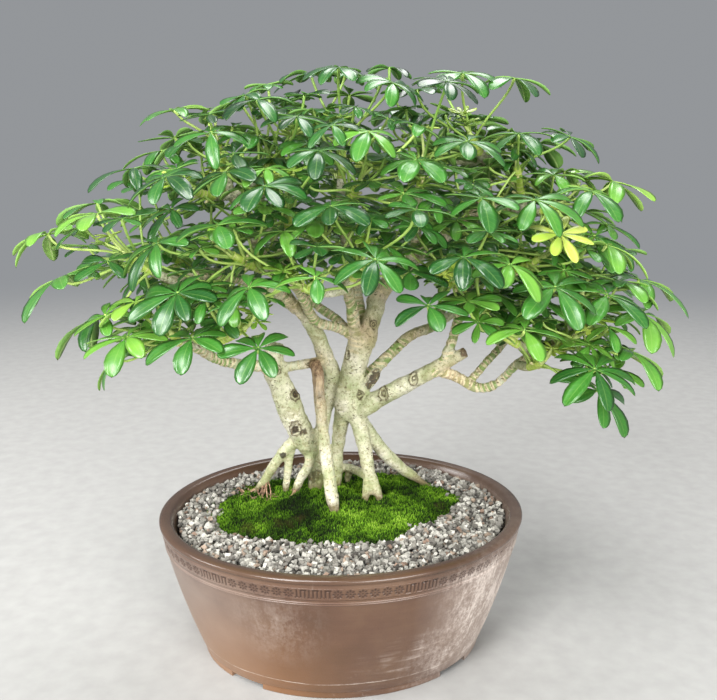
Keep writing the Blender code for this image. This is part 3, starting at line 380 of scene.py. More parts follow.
# The stamps' recesses are painted dark: painted shade in the band.
sunk = add(stoneware, "Attribute", output=2, attribute_name="sunk")
painted_recess_shade = add(stoneware, "Math", {0: sunk, 1: 0.95}, operation="MULTIPLY")
# The pale mix carries the bloom and the painted sheen on the sides; the dark one is painted shade in the
# stamps.
for share, code in ((bloom_and_sheen, "c9bcb2"), (scale_line, "d0c4b8"), (painted_recess_shade, "35231c")):
    clay = add(stoneware, "Mix", {0: share, 6: clay, 7: linear(code)}, 2, data_type="RGBA")
pores = add(stoneware, "TexNoise", {"Vector": spot, "Scale": 900.0})
relief = add(stoneware, "Math", {0: streaks, 1: 0.4, 2: pores}, operation="MULTIPLY_ADD")
relief = add(stoneware, "Bump", {"Height": relief, "Strength": 0.2, "Distance": 0.25 * MM})
satin = add(stoneware, "MapRange", {0: bloom_and_sheen, 1: 0.0, 2: 0.5, 4: 0.3})
on_rim = add(stoneware, "MapRange", {0: place.outputs[2], 1: 0.106, 2: 0.112, 3: 0.31, 4: 0.20})
satin = add(stoneware, "Math", {0: satin, 1: on_rim})
connect(stoneware, shader, {"Base Color": clay, "Roughness": satin, "Normal": relief, "IOR": 1.5})
print("stoneware:", len(stoneware.node_tree.nodes), "nodes")


# %% Make the pot
def take_away(thing, cutter):
    """Cut a shape out of a piece and remove the cutter."""
    step = thing.modifiers.new("cut", "BOOLEAN")
    step.object = cutter
    step.operation = "DIFFERENCE"
    shaped = bpy.data.meshes.new_from_object(thing.evaluated_get(bpy.context.evaluated_depsgraph_get()))
    thing.modifiers.clear()
    thing.data = shaped
    bpy.data.objects.remove(cutter)


turns = np.arange(POT_SIDES) * math.tau / POT_SIDES
points = np.concatenate([oval(inset, height, turns) for inset, height in profile])
faces = ring_faces(len(profile), POT_SIDES)
faces = [face[::-1] for face in faces]
faces.append(list(range(POT_SIDES)))
last = (len(profile) - 1) * POT_SIDES
faces.append(list(range(last, last + POT_SIDES))[::-1])
pot = piece("stoneware_pot", points, faces, [stoneware], ["pot"])
foot_middle = wall_inset(0.0) + FOOT_STEP + FOOT_WIDTH / 2
for angle in CUT_OUT_ANGLES:
    turn = math.radians(angle)
    half_x = POT_HALF_LENGTH - foot_middle
    half_y = POT_HALF_WIDTH - foot_middle
    across = math.atan2(math.sin(turn) / half_y, math.cos(turn) / half_x)
    place = (half_x * math.cos(turn), half_y * math.sin(turn), 0)
    bpy.ops.mesh.primitive_cube_add(size=1, location=place, rotation=(0, 0, across))
    bpy.context.object.scale = (3 * FOOT_WIDTH, CUT_OUT_WIDTH, 2 * CUT_OUT_HEIGHT)
    take_away(pot, bpy.context.object)
for place in DRAIN_PLACES:
    bpy.ops.mesh.primitive_cylinder_add(vertices=DRAIN_SIDES, radius=DRAIN_RADIUS, depth=4 * FLOOR_TOP,
                                        location=(place, 0, 0))
    take_away(pot, bpy.context.object)
pot.data.set_sharp_from_angle(angle=math.radians(40))
print("pot after its cuts:", len(pot.data.polygons), "faces")

# %% [markdown]
# ### The stamped band
#
# Before the clay was dry, stamps were pressed side by side below the rim: six small round flowers, then
# three square frets, and so on round the pot. Both are old and common patterns. A picture mapped on the
# wall would look flat from the side, so the relief is real: a thin strip, set flush in a shallow bed in the
# wall, whose face is sunk by a formula of the distance along it and across it.

# %% Make the stamped band
STAMP_COUNT = 99
STAMP_GROUP = 9
FLOWERS_IN_GROUP = 6
STAMP_RADIUS = 4.1 * MM
STAMP_LINE = 0.42 * MM
FRET_HALF_LINE = 0.5 * MM
FRET_HALF = 3.9 * MM
STAMP_DEPTH = 0.8 * MM
BAND_COLUMNS = 1782
BAND_ROWS = 19


def ridge(distance, width):
    return np.exp(-(distance / width) ** 2)


def stamp_depth(along, up):
    """How deep the stamps are sunk, from 0 to 1, at a way along the band and up it."""
    cell = np.floor(along)
    x = (along - cell - 0.5) * band_length / STAMP_COUNT
    radius = np.hypot(x, up)
    turn = np.arctan2(up, x)
    petal = 0.5 + 0.5 * np.cos(8 * turn)
    edge = np.clip((STAMP_RADIUS * (0.82 + 0.18 * petal) - radius) / STAMP_LINE, 0, 1)
    flower = edge * np.clip(0.25 + 0.75 * petal - 0.9 * ridge(radius - 1.1 * MM, 0.4 * MM), 0, 1)
    bars = np.abs(x)[..., None] - np.array((0.0, 2.9)) * MM
    grooves = np.clip((FRET_HALF_LINE - np.abs(bars)) / STAMP_LINE + 0.5, 0, 1).max(-1)
    joins = np.clip((FRET_HALF_LINE - np.abs(up - 3.2 * MM * np.sign(x))) / STAMP_LINE + 0.5, 0, 1)
    fret = np.maximum(grooves, joins) * (np.maximum(np.abs(x), np.abs(up)) < FRET_HALF)
    return np.where(cell % STAMP_GROUP < FLOWERS_IN_GROUP, flower, fret)


fine_turns = np.linspace(0, math.tau, 20001)
outline = oval(wall_inset(BAND_MIDDLE), 0.0, fine_turns)
travelled = np.concatenate([[0], np.cumsum(np.linalg.norm(np.diff(outline, axis=0), axis=1))])
band_length = travelled[-1]
columns = np.arange(BAND_COLUMNS) / BAND_COLUMNS
band_turns = np.interp(columns * band_length, travelled, fine_turns)
rings = []
depths = []
for row in range(BAND_ROWS):
    up = BAND_HALF_HEIGHT * (2 * row / (BAND_ROWS - 1) - 1)
    height = BAND_MIDDLE + up
    depths.append(stamp_depth(columns * STAMP_COUNT, up))
    rings.append(oval(wall_inset(height) + STAMP_DEPTH * depths[-1], height, band_turns))
back = wall_inset(BAND_MIDDLE) + BAND_BED_DEPTH + 0.4 * MM
rings.append(oval(back, BAND_MIDDLE, band_turns))
depths.append(np.zeros(BAND_COLUMNS))
faces = ring_faces(len(rings), BAND_COLUMNS, closed=True)
sunk = np.concatenate(depths)
piece("stamped_band", np.concatenate(rings), faces, [stoneware], marks={"sunk": sunk})
print("band:", round(band_length / MM), "mm round,", round(band_length / STAMP_COUNT / MM, 1), "mm a stamp")

# %% [markdown]
# ## What lies in the pot
#
# The growing mix is a dark, crumbly blend of bark and grit. Under it, a black plastic screen covers each
# drain hole. Both keep their plain shapes, because moss, grit and pot hide them, and get their own
# finishes.

# %% Finishes: growing mix and black polypropylene
mix, shader, spot = new_finish("bark and grit growing mix")
crumbs = add(mix, "TexVoronoi", {"Vector": spot, "Scale": 350.0}, 1)
tones = add(mix, "ValToRGB", {0: crumbs}, stops=((0.0, "2a1f17"), (0.5, "4a3829"), (1.0, "7b6a58")))
relief = add(mix, "TexVoronoi", {"Vector": spot, "Scale": 350.0})
relief = add(mix, "Bump", {"Height": relief, "Strength": 0.8, "Distance": 1.0 * MM})
connect(mix, shader, {"Base Color": tones, "Roughness": 0.95, "Normal": relief})
plastic, shader, spot = new_finish("moulded black polypropylene")
texture = add(plastic, "TexNoise", {"Vector": spot, "Scale": 1200.0, "Detail": 3.0})
tones = add(plastic, "ValToRGB", {0: texture}, stops=((0.3, "131313"), (0.7, "222220")))
relief = add(plastic, "Bump", {"Height": texture, "Strength": 0.2, "Distance": 0.1 * MM})
connect(plastic, shader, {"Base Color": tones, "Roughness": 0.45, "Normal": relief, "IOR": 1.49})
for name, finish in (("soil", mix), ("drain_mesh_left", plastic), ("drain_mesh_right", plastic)):
    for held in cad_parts[name].material_slots:
        held.material = finish
print("dressed the mix and the two screens")

# %% [markdown]
# ### The moss pad
#
# A cushion of real moss covers the mix under the trunks. It has low hummocks one or two centimetres across,
# and its surface is a fur of upright shoots about 2 mm tall, each painted dark at its foot and bright at its
# tip: painted shade between the shoots. A formula gives its height at any place, with a low collar round
# each root's foot, so the shoots stand on it by themselves.

# %% The moss pad's shape
MOSS_CENTRE = (-4 * MM, 15 * MM)
MOSS_HALF_LENGTH = 102 * MM
MOSS_HALF_WIDTH = 79 * MM
MOSS_WAVES = ((2, 0.05, 0.6), (5, 0.04, 1.9), (9, 0.02, 0.0))
MOSS_BOTTOM = 102.3 * MM
MOSS_EDGE_TOP = 107.5 * MM
MOSS_CROWN_TOP = 114 * MM
ROOT_FEET = ((-0.6, -0.7), (1.6, 1.1), (3.5, 1.2), (-7.9, 3.5), (-5.1, 3.2), (-4.3, 2.9),
             (-2.9, 3.4), (-2.1, 3.8), (-0.6, 4.1), (0.2, 4.9), (-1.4, 4.3))
COLLAR_RISE = 2.2 * MM
COLLAR_REACH = 8.5 * MM
HUMMOCKS = ((4.4 * MM, 18 * MM, 0.0), (2.8 * MM, 6 * MM, 3.0))
MOSS_RINGS = 60
MOSS_SIDES = 180


def moss_share(x, y):
    """How far out on the moss pad a place lies: 0 in the middle and 1 on its uneven outline."""
    across = (x - MOSS_CENTRE[0]) / MOSS_HALF_LENGTH
    deep = (y - MOSS_CENTRE[1]) / MOSS_HALF_WIDTH
    turn = np.arctan2(deep, across)
    reach = 1 + sum(size * np.sin(count * turn + start) for count, size, start in MOSS_WAVES)
    return np.hypot(across, deep) / reach


def moss_top(places):
    """The height of the moss at each (x, y, 0)."""
    share = moss_share(places[:, 0], places[:, 1])
    rise = MOSS_EDGE_TOP + (MOSS_CROWN_TOP - MOSS_EDGE_TOP) * (1 - np.clip(share, 0, 1) ** 2)
    for foot_x, foot_y in ROOT_FEET:
        foot = tree_point(foot_x, foot_y, 0)
        distance = np.hypot(places[:, 0] - foot.x, places[:, 1] - foot.y)
        rise = rise + COLLAR_RISE * np.exp(-(distance / COLLAR_REACH) ** 4)
    calm = np.clip((1.0 - share) / 0.12, 0.15, 1.0)
    return rise + calm * sum(height * lump(places, width, seed) for height, width, seed in HUMMOCKS)


def moss_outline(share, turns):
    reach = share * (1 + sum(size * np.sin(count * turns + start) for count, size, start in MOSS_WAVES))
    x = MOSS_CENTRE[0] + reach * MOSS_HALF_LENGTH * np.cos(turns)
    y = MOSS_CENTRE[1] + reach * MOSS_HALF_WIDTH * np.sin(turns)
    return np.stack([x, y, np.zeros_like(x)], -1)


# %% Finish: living moss
MOSS_BRIGHT_PLACE = (34 * MM, -26 * MM, 112 * MM)
MOSS_DARK_PLACE = (-36 * MM, -4 * MM, 112 * MM)
moss, shader, spot = new_finish("living cushion moss")
island = add(moss, "NewGeometry", output=8)
patches = add(moss, "TexNoise", {"Vector": spot, "Scale": 42.0, "Detail": 3.0})
patches = add(moss, "MapRange", {0: patches, 1: 0.36, 2: 0.64, 3: -0.04, 4: 0.28})
bright = add(moss, "VectorMath", {0: spot, 1: MOSS_BRIGHT_PLACE}, 1, operation="DISTANCE")
bright = add(moss, "MapRange", {0: bright, 1: 0.010, 2: 0.055, 3: 0.14, 4: 0.0})
dark = add(moss, "VectorMath", {0: spot, 1: MOSS_DARK_PLACE}, 1, operation="DISTANCE")
dark = add(moss, "MapRange", {0: dark, 1: 0.006, 2: 0.030, 3: -0.22, 4: 0.0})
patches = add(moss, "Math", {0: patches, 1: bright})
patches = add(moss, "Math", {0: patches, 1: dark})
shade = add(moss, "Math", {0: island, 1: 0.26, 2: patches}, operation="MULTIPLY_ADD")
# Each shoot is painted dark at its foot and bright at its tip: painted shade between the shoots.
up_shoot = add(moss, "Attribute", output=2, attribute_name="up_shoot")
shade = add(moss, "Math", {0: up_shoot, 1: 0.46, 2: shade}, operation="MULTIPLY_ADD")
MOSS_TONES = ((0.12, "0a1203"), (0.36, "203805"), (0.56, "48720f"), (0.78, "7fab28"), (1.0, "c0dc5e"))
tones = add(moss, "ValToRGB", {0: shade}, stops=MOSS_TONES)
brown_patch = add(moss, "TexNoise", {"Vector": spot, "Scale": 26.0, "Detail": 4.0})
brown_share = add(moss, "MapRange", {0: brown_patch, 1: 0.60, 2: 0.70, 4: 0.7})
tones = add(moss, "Mix", {0: brown_share, 6: tones, 7: linear("3f3a17")}, 2, data_type="RGBA")
fur = add(moss, "TexNoise", {"Vector": spot, "Scale": 900.0, "Detail": 3.0})
fur = add(moss, "Bump", {"Height": fur, "Strength": 0.7, "Distance": 0.8 * MM})
connect(moss, shader, {"Base Color": tones, "Roughness": 0.9, "Normal": fur, "Specular IOR Level": 0.2})
print("moss:", len(moss.node_tree.nodes), "nodes")

# %% Make the moss cushion
turns = np.arange(MOSS_SIDES) * math.tau / MOSS_SIDES
rings = [moss_outline(1.0, turns) + UP * MOSS_BOTTOM]
for row in range(MOSS_RINGS):
    ring = moss_outline(1 - row / MOSS_RINGS, turns)
    ring[:, 2] = moss_top(ring)
    rings.append(ring)
faces = ring_faces(len(rings), MOSS_SIDES)
last = (len(rings) - 1) * MOSS_SIDES
faces += [list(range(MOSS_SIDES))[::-1], list(range(last, last + MOSS_SIDES))]
piece("moss_cushion", np.concatenate(rings), faces, [moss], ["moss"])

# %% Plant the moss shoots
MOSS_SHOOTS = 25000
MOSS_SHOOT_HEIGHT = (1.3 * MM, 3.0 * MM)
MOSS_SHOOT_WIDTH = 0.6 * MM
chance = np.random.default_rng(7)
places = chance.uniform(-1.12, 1.12, (MOSS_SHOOTS * 2, 2)) * (MOSS_HALF_LENGTH, MOSS_HALF_WIDTH) + MOSS_CENTRE
share = moss_share(places[:, 0], places[:, 1])
ragged = 1.0 + 0.05 * chance.standard_normal(len(places))
places = places[share < ragged][:MOSS_SHOOTS]
places = np.column_stack([places, np.zeros(len(places))])
places[:, 2] = moss_top(places)
count = len(places)
tilt = chance.normal(0, 0.45, (count, 2))
tip = np.column_stack([tilt, np.ones(count)])
tip *= (chance.uniform(*MOSS_SHOOT_HEIGHT, count) / np.linalg.norm(tip, axis=1))[:, None]
first = chance.uniform(0, math.tau, count)
corners = []
for corner in range(3):
    turn = first + corner * math.tau / 3
    corners.append(places + np.column_stack([np.cos(turn), np.sin(turn), -0.6 + 0 * turn]) * MOSS_SHOOT_WIDTH)
points = np.stack([*corners, places + tip], 1).reshape(-1, 3)
base = np.arange(count)[:, None] * 4
faces = np.concatenate([base + np.array(corner) for corner in ((0, 2, 1), (0, 1, 3), (1, 2, 3), (2, 0, 3))])
up_shoot = np.tile((0.0, 0.0, 0.0, 1.0), count)
piece("moss_shoots", points, faces.tolist(), [moss], marks={"up_shoot": up_shoot}, smooth=False)
print("moss shoots:", count)

# %% [markdown]
# ### The grit
#
# The top dressing is crushed granite, sieved to 3 to 5 mm: pale, sharp-edged grains, a few pink or nearly
# black. A bumpy sheet would look like plaster, so each grain is its own small stone: a block with each
# corner pulled in by its own amount and flat faces, as crushed stone breaks, dropped in two layers on a
# near-black bed, which is painted shade between the grains. The grains are painted darker the lower they
# lie: painted shade in the gaps.

# %% Finish: crushed granite
grit, shader, spot = new_finish("crushed pale granite")
island = add(grit, "NewGeometry", output=8)
GRIT_TONES = ((0.0, "a09c93"), (0.17, "cbc7bc"), (0.34, "7a756d"), (0.45, "b4b0a6"), (0.60, "e2ded3"),
              (0.73, "8f8a81"), (0.86, "b39e8b"), (0.93, "4a453f"), (0.96, "9c8270"))
tones = add(grit, "ValToRGB", {0: island}, stops=GRIT_TONES)
tones.node.color_ramp.interpolation = "CONSTANT"
crystals = add(grit, "TexNoise", {"Vector": spot, "Scale": 1400.0, "Detail": 3.0})
dusk = add(grit, "MapRange", {0: crystals, 1: 0.35, 2: 0.65, 3: 0.58, 4: 0.98})
# Grains are painted darker the lower they lie: painted shade in the gaps between them.
height = add(grit, "SeparateXYZ", {0: spot}, 2)
painted_gap_shade = add(grit, "MapRange", {0: height, 1: 0.1076, 2: 0.1110, 3: 0.20, 4: 0.92})
dusk = add(grit, "Math", {0: dusk, 1: painted_gap_shade}, operation="MULTIPLY")
tones = add(grit, "Mix", {0: 1.0, 6: tones, 7: dusk}, 2, data_type="RGBA", blend_type="MULTIPLY")
relief = add(grit, "Bump", {"Height": crystals, "Strength": 0.5, "Distance": 0.3 * MM})
connect(grit, shader, {"Base Color": tones, "Roughness": 0.85, "Normal": relief})
# The bed is near black: painted shade where the gaps between the grains show it.
gap_shade_finish, shader, spot = new_finish("near-black bed painted as shade between the grains")
crumbs = add(gap_shade_finish, "TexNoise", {"Vector": spot, "Scale": 500.0, "Detail": 5.0})
tones = add(gap_shade_finish, "ValToRGB", {0: crumbs}, stops=((0.3, "15120f"), (0.7, "3b362f")))
relief = add(gap_shade_finish, "Bump", {"Height": crumbs, "Strength": 0.6, "Distance": 0.6 * MM})
connect(gap_shade_finish, shader, {"Base Color": tones, "Roughness": 0.95, "Normal": relief})
print("grit:", len(GRIT_TONES), "tones")

# %% Make the grit's bed
BED_TOP = 106.6 * MM
BED_SIDES = 200
BED_RINGS = 14
GRIT_WALL = LIP_INSET + 1.0 * MM
turns = np.arange(BED_SIDES) * math.tau / BED_SIDES
inner = moss_outline(0.98, turns)
outer = oval(inner_inset(MOSS_BOTTOM) + 1 * MM, 0.0, turns)
rings = [inner + UP * MOSS_BOTTOM]
for row in range(BED_RINGS + 1):
    ring = inner + (outer - inner) * row / BED_RINGS
    ring[:, 2] = BED_TOP + 0.8 * MM * lump(ring, 6 * MM, 9.0)
    rings.append(ring)
rings.append(outer + UP * MOSS_BOTTOM)
faces = ring_faces(len(rings), BED_SIDES, closed=True)
piece("grit_bed", np.concatenate(rings), [face[::-1] for face in faces], [gap_shade_finish], ["gravel"])

# %% Drop the grains
GRAIN_PITCH = 3.2 * MM
GRAIN_SIZE = (3.0 * MM, 5.6 * MM)
ROW_SHARE = 0.87
SECOND_LAYER = 0.45
LAYER_HEIGHT = 2.2 * MM
STRAY_GRAINS = 40
STRAY_REACH = 4.0 * MM
chance = np.random.default_rng(11)
half_x = POT_HALF_LENGTH - GRIT_WALL
half_y = POT_HALF_WIDTH - GRIT_WALL
columns, rows = np.meshgrid(np.arange(-half_x, half_x, GRAIN_PITCH),
                            np.arange(-half_y, half_y, GRAIN_PITCH * ROW_SHARE))
columns = columns + (np.arange(columns.shape[0])[:, None] % 2) * GRAIN_PITCH / 2
first = np.column_stack([columns.ravel(), rows.ravel()])
second = first[chance.random(len(first)) < SECOND_LAYER]
layer = np.concatenate([np.zeros(len(first)), np.ones(len(second))])
places = np.concatenate([first, second]) + chance.uniform(-0.4, 0.4, (len(layer), 2)) * GRAIN_PITCH
share = moss_share(places[:, 0], places[:, 1])
edge = np.hypot(places[:, 0] / (half_x - 1.8 * MM), places[:, 1] / (half_y - 1.8 * MM))
kept = (edge < 1) & (share > 0.985 + 0.02 * chance.standard_normal(len(share)))
places, layer = places[kept], layer[kept]
heights = BED_TOP + 1.2 * MM + layer * LAYER_HEIGHT + chance.uniform(-0.7, 0.7, len(layer)) * MM
strays = moss_outline(1.0, chance.uniform(0, math.tau, STRAY_GRAINS))
strays = strays + chance.normal(0, STRAY_REACH, strays.shape)
stray_heights = moss_top(strays) + 1.0 * MM
places = np.vstack([np.column_stack([places, heights]), np.column_stack([strays[:, :2], stray_heights])])

chip = np.array([(x, y, z) for x in (-1, 1) for y in (-1, 1) for z in (-1, 1)])
CHIP_FACES = ((0, 1, 3), (0, 3, 2), (4, 6, 7), (4, 7, 5), (0, 4, 5), (0, 5, 1),
              (2, 3, 7), (2, 7, 6), (0, 2, 6), (0, 6, 4), (1, 5, 7), (1, 7, 3))
count = len(places)
sizes = chance.uniform(*GRAIN_SIZE, count)
shapes = chip[None] * chance.uniform(0.45, 1.05, (count, 8, 3))
shapes = shapes * chance.uniform(0.55, 1.1, (count, 1, 3)) * sizes[:, None, None] / 2
turned = np.linalg.qr(chance.standard_normal((count, 3, 3)))[0]
turned[:, :, 0] *= np.linalg.det(turned)[:, None]
points = np.einsum("nij,nkj->nki", turned, shapes) + places[:, None, :]
faces = (np.arange(count)[:, None, None] * 8 + np.array(CHIP_FACES)[None]).reshape(-1, 3)
piece("grit_grains", points.reshape(-1, 3), faces.tolist(), [grit], ["gravel"], smooth=False)
print("grains:", count)

# %% [markdown]
# ## The wood
#
# Several trunks have grown together, and aerial roots came down round them and thickened. Each of them
# follows a route of a few places with a radius, taken through a smooth curve. Tubes alone would cross like
# pipes, so all tubes are melted into one skin with a voxel remesh, which leaves the soft webs that real
# wood has where two limbs meet. Then the skin is roughened: swellings, small lumps, rings, and the scars of
# lost branches.

# %% Routes of trunks and roots
TRUNKS_AND_ROOTS = {
    "centre_trunk": (
        (0.1, 2.8, 18.2, 0.5), (0.3, 2.6, 19.8, 1.1), (0.8, 2.5, 21.9, 1.05), (1.2, 2.5, 23.6, 1.0),
        (1.6, 2.5, 25.3, 1.05), (1.7, 2.5, 26.1, 0.7)),
    "centre_leg": (
        (-0.7, 4.3, 9.4, 0.5), (-0.5, 3.8, 14.8, 0.55), (0.0, 3.1, 18.3, 0.7), (0.5, 2.6, 21.0, 0.8)),
    "right_leg": (
        (2.6, 1.7, 11.8, 0.4), (2.2, 1.8, 14.0, 0.55), (1.7, 2.2, 16.7, 0.65), (0.7, 2.5, 20.4, 0.9)),
    "right_leg_toe": ((1.5, 1.0, 9.8, 0.32), (1.9, 1.2, 11.4, 0.36), (2.2, 1.7, 13.4, 0.42)),
    "right_leg_heel": ((3.6, 1.2, 9.8, 0.34), (3.2, 1.3, 11.4, 0.38), (2.5, 1.7, 13.4, 0.42)),
    "diagonal_root": (
        (1.4, 2.6, 18.2, 0.75), (3.1, 3.4, 15.5, 0.6), (4.7, 4.3, 13.5, 0.55), (6.4, 5.2, 11.9, 0.45),
        (7.9, 5.7, 10.6, 0.3)),
    "cross_root": ((-0.5, 3.9, 13.4, 0.36), (0.9, 4.4, 13.0, 0.38), (2.2, 2.0, 13.2, 0.36)),
    "small_root": ((0.6, 4.3, 13.1, 0.32), (0.3, 4.8, 11.4, 0.3), (0.2, 4.9, 9.8, 0.3)),
    "left_inner_trunk": (
        (-1.3, 4.3, 9.4, 0.5), (-1.7, 4.0, 14.6, 0.55), (-1.7, 3.6, 18.0, 0.6), (-0.8, 3.3, 21.3, 0.75),
        (-1.4, 3.2, 23.4, 0.7), (-2.1, 2.8, 25.5, 0.65), (-2.8, 2.0, 27.0, 0.6), (-3.9, 1.0, 28.4, 0.5),
        (-5.2, 0.0, 29.6, 0.45)),
    "left_trunk": (
        (-2.6, 2.9, 14.8, 0.55), (-3.2, 2.6, 16.4, 1.0), (-4.3, 2.3, 18.9, 1.1), (-5.1, 2.0, 21.2, 1.0),
        (-5.7, 2.0, 23.0, 0.95), (-5.5, 2.0, 24.9, 0.75)),
    "left_root_outer": (
        (-3.7, 2.6, 16.6, 0.55), (-5.1, 2.6, 15.2, 0.5), (-6.1, 2.9, 13.7, 0.42),
        (-6.9, 3.2, 12.3, 0.36), (-8.6, 3.7, 10.2, 0.26)),
    "left_root_second": ((-4.3, 2.6, 16.0, 0.4), (-4.7, 2.8, 13.8, 0.34), (-5.2, 3.3, 9.8, 0.3)),
    "left_root_third": (
        (-2.6, 2.5, 16.4, 0.5), (-2.9, 2.4, 14.2, 0.44), (-3.7, 2.6, 12.7, 0.38), (-4.6, 3.0, 10.0, 0.3)),
    "left_root_fourth": ((-2.7, 3.0, 16.0, 0.42), (-2.7, 3.2, 13.2, 0.32), (-3.0, 3.5, 9.8, 0.28)),
    "left_root_inner": ((-2.9, 3.2, 17.0, 0.6), (-2.3, 3.5, 13.4, 0.5), (-2.1, 3.8, 9.6, 0.45)),
    "fused_branch": ((-5.8, 2.0, 23.0, 0.4), (-4.3, 1.9, 23.0, 0.4), (-1.3, 2.7, 23.3, 0.4)),
    "brown_aerial_root": (
        (-2.3, 2.1, 23.2, 0.45), (-2.0, 1.1, 22.6, 0.5), (-1.8, 0.5, 20.6, 0.48),
        (-1.6, 0.2, 18.4, 0.46), (-1.3, 0.0, 15.6, 0.48), (-0.8, -0.5, 12.2, 0.55),
        (-0.4, -0.9, 9.6, 0.55)),
    "right_big_branch": (
        (0.4, 2.6, 18.2, 0.4), (1.9, 2.1, 19.4, 0.8), (3.8, 1.4, 20.8, 0.72), (5.8, 0.7, 22.1, 0.68),
        (7.7, 0.0, 23.4, 0.62), (8.8, -0.3, 24.1, 0.5), (9.9, -0.5, 24.8, 0.4)),
}
print("trunks and roots:", len(TRUNKS_AND_ROOTS))

# %% Routes of limbs
LIMBS = {
    "left_low_limb": (
        (-5.8, 2.0, 23.0, 0.5), (-7.6, 1.0, 23.3, 0.45), (-9.4, 0.0, 23.9, 0.42),
        (-10.6, -1.5, 24.9, 0.38), (-11.8, -3.2, 26.2, 0.34)),
    "left_mid_limb": (
        (-3.9, 1.0, 28.4, 0.5), (-5.6, -0.3, 29.9, 0.45), (-8.0, -1.8, 30.9, 0.42),
        (-10.2, -3.0, 31.3, 0.38), (-12.0, -4.0, 31.0, 0.35)),
    "left_high_limb": (
        (-3.9, 1.0, 28.4, 0.42), (-5.5, 0.2, 31.4, 0.4), (-7.0, -1.4, 34.6, 0.36),
        (-8.0, -2.2, 37.2, 0.32)),
    "left_back_limb": ((-3.4, 1.6, 27.6, 0.42), (-6.6, 3.8, 29.2, 0.4), (-10.2, 5.0, 30.4, 0.34)),
    "centre_front_limb": (
        (1.2, 2.4, 24.6, 0.5), (0.9, 1.5, 27.6, 0.5), (0.5, 0.6, 30.0, 0.44), (0.5, -1.0, 32.6, 0.4),
        (0.0, -2.2, 36.2, 0.34)),
    "centre_low_limb": ((0.6, 0.9, 29.2, 0.4), (0.6, -2.4, 30.0, 0.36), (0.2, -5.6, 30.6, 0.32)),
    "centre_back_limb": (
        (1.7, 2.9, 25.0, 0.5), (1.5, 3.8, 27.4, 0.45), (0.9, 5.4, 30.6, 0.4), (0.2, 6.6, 34.0, 0.34)),
    "right_high_limb": (
        (1.8, 2.5, 24.8, 0.95), (2.6, 2.9, 27.2, 0.8), (3.2, 3.4, 28.9, 0.72), (5.0, 4.0, 30.8, 0.62),
        (7.8, 4.6, 32.9, 0.55), (10.4, 4.4, 34.9, 0.5), (11.7, 3.6, 37.0, 0.42), (11.6, 2.4, 39.6, 0.36)),
    "right_high_side": ((11.2, 4.2, 35.6, 0.42), (13.0, 3.8, 36.0, 0.36), (14.6, 2.0, 35.6, 0.32)),
    "right_front_limb": (
        (3.4, 3.4, 29.1, 0.5), (4.7, 0.6, 31.0, 0.42), (5.6, -2.4, 33.4, 0.38), (5.6, -3.6, 36.2, 0.34)),
    "left_front_limb": (
        (1.0, 2.5, 25.5, 0.5), (-0.5, 2.0, 26.3, 0.42), (-2.1, 1.2, 27.0, 0.4), (-3.0, -1.4, 29.4, 0.38),
        (-3.7, -3.8, 31.6, 0.34), (-3.6, -4.8, 33.6, 0.32)),
    "left_behind_limb": (
        (0.7, 2.9, 25.6, 0.42), (-0.6, 3.3, 26.8, 0.38), (-2.4, 4.0, 28.0, 0.36),
        (-4.6, 4.6, 30.8, 0.34), (-6.0, 4.4, 34.0, 0.32), (-6.6, 3.8, 36.8, 0.3)),
    "back_limb": ((1.2, 4.7, 29.2, 0.4), (1.6, 7.2, 29.8, 0.36), (1.3, 9.3, 30.8, 0.32)),
    "right_up_limb": (
        (8.2, -0.1, 23.7, 0.42), (8.9, -0.4, 26.0, 0.4), (9.4, -1.0, 28.5, 0.38),
        (9.9, -2.4, 31.0, 0.34)),
    "right_thin_limb": (
        (7.6, 0.0, 23.2, 0.45), (9.3, 0.0, 22.6, 0.42), (10.9, -0.4, 21.8, 0.4),
        (12.3, -1.0, 22.3, 0.36), (13.8, -2.0, 24.2, 0.34), (15.4, -3.2, 25.6, 0.32),
        (16.8, -4.4, 27.0, 0.3)),
    "right_second_limb": (
        (10.2, -0.1, 22.0, 0.34), (11.6, 0.6, 23.5, 0.32), (13.8, 2.2, 25.5, 0.3),
        (15.4, 3.4, 27.6, 0.28)),
    "right_mid_limb": (
        (1.2, 2.7, 21.2, 0.6), (2.8, 3.2, 22.5, 0.5), (4.4, 4.0, 23.9, 0.46), (5.9, 4.5, 25.1, 0.44),
        (8.2, 5.6, 26.0, 0.4), (8.8, 7.2, 28.6, 0.34), (8.8, 8.0, 31.2, 0.3)),
}
print("limbs:", len(LIMBS))

# %% Curves and tubes
def smooth_route(stations, spacing):
    """Points with radii along a smooth curve through the stations, each an (x, y, z, radius) vector."""
    count = len(stations)
    route = [stations[0].copy()]
    for span in range(count - 1):
        before = stations[max(span - 1, 0)]
        start = stations[span]
        end = stations[span + 1]
        after = stations[min(span + 2, count - 1)]
        steps = max(1, round((end - start).xyz.length / spacing))
        for step in range(1, steps + 1):
            t = step / steps
            bend = (end - before) * t + (2 * before - 5 * start + 4 * end - after) * t * t
            bend += (3 * (start - end) + after - before) * t ** 3
            route.append(start + 0.5 * bend)
    return route


def limb_route(stations, spacing):
    placed = []
    for x, y, z, radius in stations:
        placed.append(tree_point(x, y, z).to_4d())
        placed[-1].w = radius * CM
    return smooth_route(placed, spacing)


